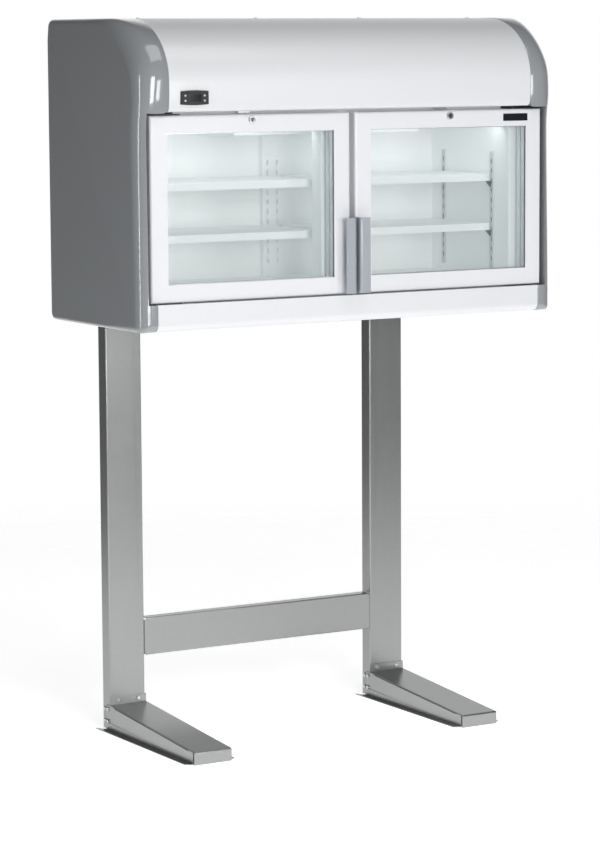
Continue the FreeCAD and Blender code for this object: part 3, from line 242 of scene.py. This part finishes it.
# %% Smudge group
g, start, end = new_group(
    "Soft smudges", [("Scale", FLOAT, 6.0), ("Low", FLOAT, 0.2), ("High", FLOAT, 0.3)],
    [("Roughness", FLOAT)])
place = g.add("ShaderNodeTexCoord")
broad = g.add("ShaderNodeTexNoise", in_Detail=4.0, in_Roughness=0.6, in_Distortion=0.6)
g.wire(place.outputs["Object"], broad.inputs["Vector"])
g.wire(start.outputs["Scale"], broad.inputs["Scale"])
mask = g.map_range(broad.outputs["Fac"], 0.25, 0.75, shape="SMOOTHERSTEP")
gloss = g.map_range(mask.outputs["Result"])
g.wire(start.outputs["Low"], gloss.inputs["To Min"])
g.wire(start.outputs["High"], gloss.inputs["To Max"])
g.wire(gloss.outputs["Result"], end.inputs["Roughness"])
print("group:", g.tree.name)

# %% [markdown]
# ### Edge wear
# Hands and cloths polish the edges of grips and black brackets first. A bevel node gives a rounded
# normal, and where it differs from the flat one there is an edge. A noise breaks the line up, so
# that it doesn't look drawn with a ruler.

# %% Edge wear group
g, start, end = new_group("Edge wear", [("Width", FLOAT, 0.002), ("Breakup", FLOAT, 40.0)],
                          [("Mask", FLOAT)])
place = g.add("ShaderNodeTexCoord")
round_off = g.add("ShaderNodeBevel", samples=4)
g.wire(start.outputs["Width"], round_off.inputs["Radius"])
flat = g.add("ShaderNodeNewGeometry")
likeness = g.add("ShaderNodeVectorMath", operation="DOT_PRODUCT")
g.wire(round_off.outputs["Normal"], likeness.inputs[0])
g.wire(flat.outputs["Normal"], likeness.inputs[1])
bend = g.map_range(likeness.outputs["Value"], 0.97, 0.75)
patches = g.add("ShaderNodeTexNoise", in_Detail=4.0)
g.wire(place.outputs["Object"], patches.inputs["Vector"])
g.wire(start.outputs["Breakup"], patches.inputs["Scale"])
chips = g.map_range(patches.outputs["Fac"], 0.35, 0.6)
both = g.add("ShaderNodeMath", operation="MULTIPLY")
g.wire(bend.outputs["Result"], both.inputs[0])
g.wire(chips.outputs["Result"], both.inputs[1])
g.wire(both.outputs["Value"], end.inputs["Mask"])
print("group:", g.tree.name)

# %% [markdown]
# ### Zinc crystals
# Hot zinc sets in flat crystals, each with its own grey. Voronoi cells stand for them, and a noise
# bends their borders. A cloud of larger noise is added, because the bath never cools evenly.

# %% Zinc group: where the crystals lie
g, start, end = new_group(
    "Zinc crystals",
    [("Scale", FLOAT, 90.0), ("Contrast", FLOAT, 0.12), ("Base", COLOUR, (0.5, 0.5, 0.5, 1))],
    [("Color", COLOUR), ("Tone", FLOAT)])
bend_reach = 0.012
place = g.add("ShaderNodeTexCoord")
warp = g.add("ShaderNodeTexNoise", in_Scale=35.0, in_Detail=2.0)
g.wire(place.outputs["Object"], warp.inputs["Vector"])
push = g.add("ShaderNodeVectorMath", operation="MULTIPLY_ADD")
push.inputs[1].default_value = (bend_reach, bend_reach, bend_reach)
g.wire(warp.outputs["Color"], push.inputs[0])
g.wire(place.outputs["Object"], push.inputs[2])
cells = g.add("ShaderNodeTexVoronoi", in_Randomness=1.0)
g.wire(push.outputs["Vector"], cells.inputs["Vector"])
g.wire(start.outputs["Scale"], cells.inputs["Scale"])
grey = g.add("ShaderNodeSeparateColor")
g.wire(cells.outputs["Color"], grey.inputs["Color"])
cloud = g.add("ShaderNodeTexNoise", in_Scale=4.0, in_Detail=5.0)
g.wire(place.outputs["Object"], cloud.inputs["Vector"])
print("crystal nodes:", len(g.tree.nodes))

# %% Zinc group: the grey of each crystal
half_cloud = g.add("ShaderNodeMath", operation="MULTIPLY")
half_cloud.inputs[1].default_value = 0.5
g.wire(cloud.outputs["Fac"], half_cloud.inputs[0])
mixed = g.add("ShaderNodeMath", operation="MULTIPLY_ADD")
mixed.inputs[1].default_value = 0.5
g.wire(grey.outputs["Red"], mixed.inputs[0])
g.wire(half_cloud.outputs["Value"], mixed.inputs[2])
tone = g.map_range(mixed.outputs["Value"], low=-1.0, high=1.0)
amount = g.add("ShaderNodeMath", operation="MULTIPLY_ADD")
amount.inputs[2].default_value = 1.0
g.wire(tone.outputs["Result"], amount.inputs[0])
g.wire(start.outputs["Contrast"], amount.inputs[1])
tint = g.add("ShaderNodeVectorMath", operation="SCALE")
g.wire(start.outputs["Base"], tint.inputs[0])
g.wire(amount.outputs["Value"], tint.inputs["Scale"])
g.wire(tint.outputs["Vector"], end.inputs["Color"])
g.wire(mixed.outputs["Value"], end.inputs["Tone"])
print("group:", g.tree.name)

# %% [markdown]
# ## Finishes
# Painted sheet, moulded plastic, rubber and aluminium differ in colour, in gloss and in the scale
# of their grain. Each could be a graph of its own, but then a change to one effect would have to be
# made many times. So one function starts a finish with its shader and fine relief, and a second
# adds colour and smudges. Most finishes are one call with their own values.

# %% Finish builder
finishes = {}
coat_rough, relief_height, wear_width = 0.05, 0.001, 0.0008


def start_finish(name, grain, relief, metal=0.0, coat=0.0):
    """A material with plain metal and coat values and a relief of fine grain."""
    material = bpy.data.materials.new(name)
    material.use_nodes = True
    finishes[name] = material
    g = Graph(material.node_tree)
    shader = material.node_tree.nodes["Principled BSDF"]
    shader.inputs["Metallic"].default_value = metal
    shader.inputs["Coat Weight"].default_value = coat
    shader.inputs["Coat Roughness"].default_value = coat_rough
    fine = g.add("ShaderNodeGroup", node_tree=bpy.data.node_groups["Fine grain"], in_Scale=grain)
    bump = g.add("ShaderNodeBump", in_Strength=relief, in_Distance=relief_height)
    g.wire(fine.outputs["Height"], bump.inputs["Height"])
    g.wire(bump.outputs["Normal"], shader.inputs["Normal"])
    return g, shader, fine


def finish(name, colour, rough, grain, relief, metal=0.0, coat=0.0, speck=0.0, wear=None):
    """A finish with smudges. Specks make it darker, and their colour can wear off at the edges."""
    g, shader, fine = start_finish(name, grain, relief, metal, coat)
    smudge = g.add("ShaderNodeGroup", node_tree=bpy.data.node_groups["Soft smudges"],
                   in_Low=rough[0], in_High=rough[1])
    g.wire(smudge.outputs["Roughness"], shader.inputs["Roughness"])
    if not speck:
        shader.inputs["Base Color"].default_value = (*colour, 1)
        return g, shader
    specks = g.add("ShaderNodeMix", data_type="RGBA")
    specks.inputs["A"].default_value = (*colour, 1)
    specks.inputs["B"].default_value = (*[c * (1 - speck) for c in colour], 1)
    g.wire(fine.outputs["Mask"], specks.inputs["Factor"])
    tinted = specks.outputs["Result"]
    if wear:
        worn = g.add("ShaderNodeGroup", node_tree=bpy.data.node_groups["Edge wear"],
                     in_Width=wear_width)
        bare = g.add("ShaderNodeMix", data_type="RGBA")
        bare.inputs["B"].default_value = (*wear, 1)
        g.wire(worn.outputs["Mask"], bare.inputs["Factor"])
        g.wire(tinted, bare.inputs["A"])
        tinted = bare.outputs["Result"]
    g.wire(tinted, shader.inputs["Base Color"])
    return g, shader


# %% [markdown]
# ### Sheet, plastic, rubber and foam
# The moulded ends are glossy plastic, so they have a coat and almost no relief. The sheets are
# powder coated, duller and with more grain. The lining takes light from its lamps many times over,
# and a little emission stands for the bounces that a short render leaves out.

# %% Sheet, plastic, rubber and foam
finish("cap_plastic", (0.325, 0.34, 0.355), (0.14, 0.17), 260, 0.012, coat=0.8, speck=0.03)
finish("white_sheet", (0.80, 0.81, 0.83), (0.30, 0.33), 700, 0.05, coat=0.2, speck=0.02)
finish("white_profile", (0.82, 0.83, 0.86), (0.30, 0.40), 500, 0.04, speck=0.02)
g, shader = finish("white_inner", (0.82, 0.84, 0.84), (0.30, 0.42), 600, 0.05, speck=0.02)
shader.inputs["Emission Color"].default_value = (0.95, 1.0, 1.0, 1)
shader.inputs["Emission Strength"].default_value = 0.09
finish("foam", (0.80, 0.72, 0.50), (0.8, 0.9), 300, 0.4, speck=0.15)
finish("seal_rubber", (0.55, 0.57, 0.60), (0.55, 0.7), 900, 0.10, speck=0.06)
finish("black_rubber", (0.02, 0.02, 0.02), (0.6, 0.75), 900, 0.15, speck=0.2)
finish("black_plastic", (0.022, 0.022, 0.025), (0.4, 0.5), 1500, 0.25, speck=0.2)
finish("display_black", (0.008, 0.008, 0.01), (0.06, 0.12), 500, 0.0, coat=0.5)
finish("button_white", (0.75, 0.75, 0.74), (0.35, 0.45), 900, 0.05)
finish("dark_plate", (0.012, 0.013, 0.02), (0.15, 0.25), 700, 0.03, coat=0.4)
print("finishes so far:", len(finishes))

# %% [markdown]
# ### Metals
# The grips are satin aluminium with a grey skin, and the lock collars are plated. Bare metal takes
# its colour from what it mirrors, so its metal value is full. Painted and oxidised metal keeps more
# of its own colour and has a lower one. The grips and the black brackets have worn edges.

# %% Metals
finish("grey_aluminium", (0.41, 0.44, 0.48), (0.32, 0.42), 900, 0.05, metal=0.2, speck=0.06,
       wear=(0.6, 0.62, 0.64))
finish("bare_aluminium", (0.66, 0.67, 0.68), (0.28, 0.42), 900, 0.05, metal=1.0, speck=0.08)
finish("black_metal", (0.018, 0.018, 0.02), (0.35, 0.5), 500, 0.10, speck=0.2,
       wear=(0.12, 0.12, 0.12))
finish("lock_chrome", (0.66, 0.66, 0.68), (0.12, 0.25), 900, 0.04, metal=0.7, speck=0.05)
finish("plug_steel", (0.20, 0.20, 0.21), (0.2, 0.3), 900, 0.03, metal=0.9, speck=0.05)
finish("zinc_screw", (0.62, 0.64, 0.66), (0.22, 0.38), 900, 0.05, metal=1.0, speck=0.06)
finish("upright_zinc", (0.62, 0.66, 0.66), (0.30, 0.40), 800, 0.03, metal=0.25, speck=0.05)
finish("copper", (0.70, 0.36, 0.22), (0.25, 0.4), 500, 0.05, metal=1.0, speck=0.12)
print("finishes so far:", len(finishes))

# %% [markdown]
# ### Galvanised sheet
# Posts, crossbar and feet are folded from galvanised sheet. New sheet shows its crystals only
# faintly, so the contrast is low. The same tone that colours a crystal also sets how dull it is.

# %% Galvanised sheet
g, shader, fine = start_finish("galvanised", 120, 0.008, metal=0.82)
zinc = g.add("ShaderNodeGroup", node_tree=bpy.data.node_groups["Zinc crystals"], in_Scale=110.0,
             in_Contrast=0.02, in_Base=(0.37, 0.38, 0.375, 1))
g.wire(zinc.outputs["Color"], shader.inputs["Base Color"])
dull = g.map_range(zinc.outputs["Tone"], low=0.27, high=0.32)
g.wire(dull.outputs["Result"], shader.inputs["Roughness"])
print("galvanised nodes:", len(g.tree.nodes))

# %% [markdown]
# ### Glass
# The panes are thin and flat, so light goes through them without bending. Real refraction would
# need many bounces through four faces of each double pane. A surface that is clear head on and
# shows more at a slant looks the same and stays free of noise.

# %% Glass
g, shader = finish("glass", (0.72, 0.82, 0.83), (0.02, 0.04), 300, 0.0)
slant = g.add("ShaderNodeFresnel", in_IOR=1.5)
clear = g.map_range(slant.outputs["Fac"], high=0.8)
g.wire(clear.outputs["Result"], shader.inputs["Alpha"])
print("glass nodes:", len(g.tree.nodes))

# %% [markdown]
# ### Studio floor
# The floor has to be as white as the paper, yet take a shadow. A matt white with some light of its
# own does both. It fades out with the distance from the stand, which hides the disc's edge.

# %% Studio floor
fade_from, fade_to = 1.8, 4.4
g, shader = finish("floor", (0.88, 0.88, 0.88), (0.6, 0.7), 20, 0.01)
shader.inputs["Emission Color"].default_value = (1, 1, 1, 1)
shader.inputs["Emission Strength"].default_value = 0.75
spot = g.add("ShaderNodeTexCoord")
reach = g.add("ShaderNodeVectorMath", operation="LENGTH")
g.wire(spot.outputs["Object"], reach.inputs[0])
fade = g.map_range(reach.outputs["Value"], fade_from, fade_to, 1.0, 0.0, "SMOOTHSTEP")
g.wire(fade.outputs["Result"], shader.inputs["Alpha"])
floor_mesh.materials.append(finishes["floor"])
print("finishes:", sorted(finishes))

# %% [markdown]
# ## Moulded ends
# Each end is one moulded shell. Its outline follows the cabinet's side, and the edge between the
# flat side and the rim is rounded. The rounding grows up the front, is widest where the roof
# starts, and is narrow at the back and under the cabinet. Two lobes reach over the canopy and the
# lower sheet, and beside the doors the shell stops at the black strip. A bevel has one width along
# its whole edge and can't do this. So the shell is drawn as rings of points between a small inner
# outline and the outer one, which also gives an even mesh for gloss to run over.

# %% Sizes of the ends, in millimetres
mm = 0.001
y_face, y_back, y_curve = -246.75, 229.75, -74.75
y_low, y_up = y_face - 8.0, y_face - 18.0
z_under, z_fascia, z_door, z_lobe = 1070.0, 1135.7, 1139.0, 1589.0
z_curve, z_roof = 1664.0, 1814.0
x_side, x_strip, x_lobe, x_low = 596.25, 572.75, 517.95, 548.75
corner, lobe_r, wall = 20.0, 16.5, 3.0
swell_from, swell_to, swell_r = 1534.0, 1644.0, 305.0
y_front = y_face + 5.0
slack = 1.0
print("ends:", 2 * x_side, "x", y_back - y_up, "x", z_roof - z_under, "mm")


# %% Side outline
def swell(z):
    """Where the front stands at a height: two arcs lead it forward above the doors."""
    if z <= swell_from:
        return y_low
    if z >= swell_to:
        return y_up
    if z < (swell_from + swell_to) / 2:
        return y_low - (swell_r - math.sqrt(swell_r ** 2 - (z - swell_from) ** 2))
    return y_up + (swell_r - math.sqrt(swell_r ** 2 - (swell_to - z) ** 2))


def between(start, stop, steps, first=1):
    return [start + (stop - start) * k / steps for k in range(first, steps + 1)]


def arc(middle, reach, start, sweep, steps, count):
    """The first count points of an arc in steps. Both angles are in degrees."""
    angles = [math.radians(start + sweep * k / steps) for k in range(1, count + 1)]
    return [(middle[0] + reach[0] * math.cos(a), middle[1] + reach[1] * math.sin(a))
            for a in angles]


def front_heights():
    lobe_edge = [z_lobe + lobe_r * (1 - math.cos(math.radians(90 * k / 8))) for k in range(1, 9)]
    return (between(z_under + corner, z_fascia, 6, first=0) + between(z_fascia, swell_from, 12)
            + between(swell_from, z_lobe, 8) + lobe_edge + between(z_lobe + lobe_r, z_curve, 8))


def side_outline():
    """Points (y, z) from the underside's back end, round the front and the roof, to the back."""
    turn, y_end = (corner, corner), y_back - corner
    points = [(y, z_under) for y in between(y_end, y_low + corner, 23, first=0)]
    points += arc((y_low + corner, z_under + corner), turn, 270, -90, 13, 12)
    points += [(swell(z), z) for z in front_heights()]
    points += arc((y_curve, z_curve), (y_up - y_curve, z_roof - z_curve), 0, 90, 40, 40)
    points += [(y, z_roof) for y in between(y_curve, y_end, 18)]
    points += arc((y_end, z_roof - corner), turn, 90, -90, 10, 10)
    points += [(y_back, z) for z in between(z_roof - corner, z_under + corner, 23)]
    points += arc((y_end, z_under + corner), turn, 0, -90, 10, 9)
    return points


outline = side_outline()
print("outline points:", len(outline))

# %% Radius of the rounded edge
foot_r, lobe_gain, roof_gain, roof_climb = 34, 12, 18, 210
roof_round, back_round = (15, 13), (9, 8)
under_r, under_gain, under_reach = 10, 12, 200
y_narrow, y_roof_narrow = y_face + 60, y_curve + 60


def ease(t):
    t = min(max(t, 0.0), 1.0)
    return t * t * (3 - 2 * t)


def front_round(z):
    """The front edge's radius grows slowly up to the lobe, and faster from there."""
    climb = ease((z - z_under) / (z_lobe - z_under))
    return foot_r + lobe_gain * climb + roof_gain * ease((z - z_lobe) / roof_climb)


def under_round(y):
    """The lower edge's radius grows towards the front."""
    return under_r + under_gain * ease((y_face + under_reach - y) / under_reach)


def rounding(y, z):
    """Radius along the side and along the rim at a point of the outline."""
    wide = front_round(z)
    if z > z_curve - slack and y < y_back - corner:
        along = ease((y - y_up) / (y_roof_narrow - y_up))
        return tuple(wide + (narrow - wide) * along for narrow in roof_round)
    if y > y_narrow:
        return roof_round if z > z_roof - corner - slack else back_round
    return wide, wide


print("front edge radius:", [round(front_round(z)) for z in (z_under, z_lobe, z_roof)], "mm")


# %% Inner outline
foot_corner_y, foot_corner_z = y_face + 120, z_under + 60


def inner_point(i):
    """Where the flat side ends opposite outline point i, and the radius along the rim there."""
    (y0, z0), (y, z), (y1, z1) = outline[i - 1], outline[i], outline[(i + 1) % len(outline)]
    if z < foot_corner_z and y < foot_corner_y:
        low = under_round(y)
        inner_y, inner_z = max(y, y_low + foot_r), max(z, z_under + low)
        ky, kz = abs(inner_y - y) / foot_r, abs(inner_z - z) / low
        return inner_y, inner_z, (foot_r * ky * ky + under_r * kz * kz) / (ky * ky + kz * kz)
    deep, short = rounding(y, z)
    if z < z_under + slack:
        deep, short = under_round(y), under_r
    way_y, way_z = y1 - y0, z1 - z0
    size = math.hypot(way_y, way_z)
    return y + way_z / size * deep, z - way_y / size * deep, short


inner_outline = [inner_point(i) for i in range(len(outline))]
flat_heights = [inner_z for inner_y, inner_z, short in inner_outline]
print("height of the flat side:", round(max(flat_heights) - min(flat_heights)), "mm")

# %% Rows across the rounded edge
cut, rings = 10, 15
least_bend = 30


def across(i):
    """Points (x, y, z) from the flat side over the rounded edge, and on to the rim."""
    y, z = outline[i]
    inner_y, inner_z, short = inner_outline[i]
    at_strip = math.acos(1 - (x_side - x_strip) / max(short, least_bend))
    angles = between(0.0, at_strip, cut, first=0) + between(at_strip, math.pi / 2, rings - cut)
    row = [(x_side - short * (1 - math.cos(u)), inner_y + (y - inner_y) * math.sin(u),
            inner_z + (z - inner_z) * math.sin(u)) for u in angles]
    before_corner = y < y_back - corner
    if y < y_front and z_fascia + slack < z < z_lobe - slack:
        return row[:cut + 1]
    if z >= z_lobe - slack and (before_corner or z > z_roof - corner - slack):
        drop = max(0.0, z_lobe + lobe_r - z)
        rim = x_lobe + lobe_r - math.sqrt(max(0.0, lobe_r ** 2 - drop ** 2))
    elif z <= z_fascia + slack and (before_corner or z < z_under + corner + slack):
        rim = x_low
    else:
        rim = x_strip
    return row + [(rim, y, z)]


print("points in a row:", sorted({len(across(i)) for i in range(len(outline))}))


# %% Skin and front rim
def skin(form, rows):
    """The flat side, and faces between neighbouring rows."""
    form.faces.new([row[0] for row in rows])
    for a, b in zip(rows, rows[1:] + rows[:1]):
        for k in range(min(len(a), len(b)) - 1):
            form.faces.new((a[k], a[k + 1], b[k + 1], b[k]))


def front_rim(form, rows, depth=32.0):
    """The wall that runs back from the open edge beside the doors."""
    chain = []
    for (y, z), row in zip(outline, rows):
        if y >= y_front or not z_fascia - slack <= z <= z_lobe + lobe_r + slack:
            continue
        if z < z_fascia + slack:
            chain += row[:cut - 1:-1]
        elif z < z_lobe - slack:
            chain.append(row[cut])
        elif z < z_lobe + slack:
            chain += row[cut:]
        else:
            chain.append(row[-1])
    behind = [form.verts.new((v.co.x, (y_face + depth) * mm, v.co.z)) for v in chain]
    for corners in zip(chain, chain[1:], behind[1:], behind):
        form.faces.new(corners)
    return len(chain)


# %% One end
def moulded_end(name, sign):
    form = bmesh.new()
    rows = [[form.verts.new((sign * x * mm, y * mm, z * mm)) for x, y, z in across(i)]
            for i in range(len(outline))]
    skin(form, rows)
    print(name, "rim points:", front_rim(form, rows))
    bmesh.ops.remove_doubles(form, verts=form.verts, dist=0.00002)
    bmesh.ops.recalc_face_normals(form, faces=form.faces)
    flat_side = max(form.faces, key=lambda face: len(face.verts))
    if flat_side.normal.x * sign < 0:
        bmesh.ops.reverse_faces(form, faces=form.faces)
    mesh = bpy.data.meshes.new(name)
    form.to_mesh(mesh)
    form.free()
    mesh.polygons.foreach_set("use_smooth", [True] * len(mesh.polygons))
    mesh.set_sharp_from_angle(angle=math.radians(40))
    mesh.materials.append(finishes["cap_plastic"])
    obj = bpy.data.objects.new(name, mesh)
    scene.collection.objects.link(obj)
    return obj


def thicken(obj):
    """Gives the shell its wall, inwards, and a fine edge."""
    thick = obj.modifiers.new("wall", "SOLIDIFY")
    thick.thickness = wall * mm
    thick.offset = -1.0
    edge = obj.modifiers.new("edge", "BEVEL")
    edge.width = 0.0006
    edge.segments = 2
    edge.limit_method = "ANGLE"
    edge.angle_limit = math.radians(50)


# %% Both ends
for name, sign in (("moulded_end_left", -1), ("moulded_end_right", 1)):
    shell = moulded_end(name, sign)
    thicken(shell)
    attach(shell, "cabinet")
    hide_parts(name.replace("moulded_end", "end_cap"))
    print(name, "faces:", len(shell.data.polygons))

# %% [markdown]
# ## Slots of the shelf strips
# The strips on the side walls are slotted, and the hollow behind them is in shade, so it looks
# black through each slot.
# Shallow pockets in near-black stand in the slots as painted shade, with sloping walls so that
# their rims catch light.
# The shade could be painted flat on the strips, but a flat painted slot has no depth when seen from
# the side.

# %% Where the slots are, in millimetres
strip_x, z_strip, strip_h = 498.75, z_door + 35.0, 299.0
strips_y = (y_face + 126.0, y_face + 350.0)
slot_w, slot_h, pitch = 5.0, 12.0, 25.0
slot_count = int((strip_h - slot_h) // pitch)
first_slot = z_strip + (strip_h - (slot_count - 1) * pitch - slot_h) / 2
print("slots in each strip:", slot_count)

# %% Dark pockets of painted shade
pocket_rings = ((1.2, 0.05), (0.6, 0.05), (0.1, 0.9))


def pocket(form, sign, y, z):
    """A closed pocket: rings of (depth, shrink) from its rim to its floor."""
    rims = []
    for depth, shrink in pocket_rings:
        half, low, high = slot_w / 2 - shrink, z + shrink, z + slot_h - shrink
        spots = ((y - half, low), (y + half, low), (y + half, high), (y - half, high))
        rims.append([form.verts.new((sign * (strip_x - depth) * mm, b * mm, c * mm))
                     for b, c in spots])
    for a, b in zip(rims, rims[1:]):
        for n in range(4):
            form.faces.new((a[n], a[(n + 1) % 4], b[(n + 1) % 4], b[n]))
    form.faces.new(rims[-1])
    form.faces.new(rims[0])


form = bmesh.new()
for sign in (-1, 1):
    for y in strips_y:
        for k in range(slot_count):
            pocket(form, sign, y, first_slot + k * pitch)
bmesh.ops.recalc_face_normals(form, faces=form.faces)
mesh = bpy.data.meshes.new("slot_shade_pockets")
form.to_mesh(mesh)
form.free()
# The pockets wear near-black as painted shade of the hollow behind the strips.
mesh.materials.append(finishes["black_rubber"])
shade_pockets = bpy.data.objects.new("slot_shade_pockets", mesh)
scene.collection.objects.link(shade_pockets)
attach(shade_pockets, "cabinet")
print("pocket faces:", len(mesh.polygons))

# %% [markdown]
# ## Carried-over solids
# Most rigid pieces already have the right shape. Folded sheet and turned parts only lack the tiny
# radius that every real edge has, which is what catches the light. They could be modelled again
# with it, but a weld and a narrow bevel add it without touching the mesh itself.

# %% Edges
edge_width = {
    0.0002: ("lock_plug_left", "lock_plug_right"),
    0.0003: ("badge_plate", "side_uprights", "rear_column"),
    0.0004: ("hinge_brackets", "lock_keepers", "controller_body", "front_upright",
             "reveal_strips", "rear_grille", "shelf_clips"),
    0.0005: ("foot_base_left", "foot_base_right", "foot_covers", "handle_left", "handle_right",
             "rear_panel"),
    0.0006: ("crossbar", "post_left", "post_right", "face_frame"),
    0.0008: ("centre_mullion",),
    0.001: ("control_box",),
}


def soften(obj, width):
    weld = obj.modifiers.new("weld", "WELD")
    weld.merge_threshold = 0.00002
    bevel = obj.modifiers.new("edge", "BEVEL")
    bevel.width = width
    bevel.segments = 2
    bevel.limit_method = "ANGLE"
    bevel.angle_limit = math.radians(35)


for width, names in edge_width.items():
    for name in names:
        soften(nodes[name], width)
print("softened", sum(len(names) for names in edge_width.values()), "solids")

# %% [markdown]
# ## Finish of each solid
# Every solid has a material named in the record, and wears the finish of that name. The slotted
# strips and the lock plugs have finishes of their own: the strips look paler than the black metal
# around them, and the plugs darker than their collars.

# %% Dress the solids
own_finish = {"side_uprights": "upright_zinc", "lock_plug_left": "plug_steel",
              "lock_plug_right": "plug_steel"}
look_of = {part["node"]: part["material_slot"] for part in frame["record"]["subparts"]}
look_of.update(own_finish)
for name, obj in nodes.items():
    obj.data.materials.clear()
    obj.data.materials.append(finishes[look_of[name]])
print("dressed", len(nodes), "solids")
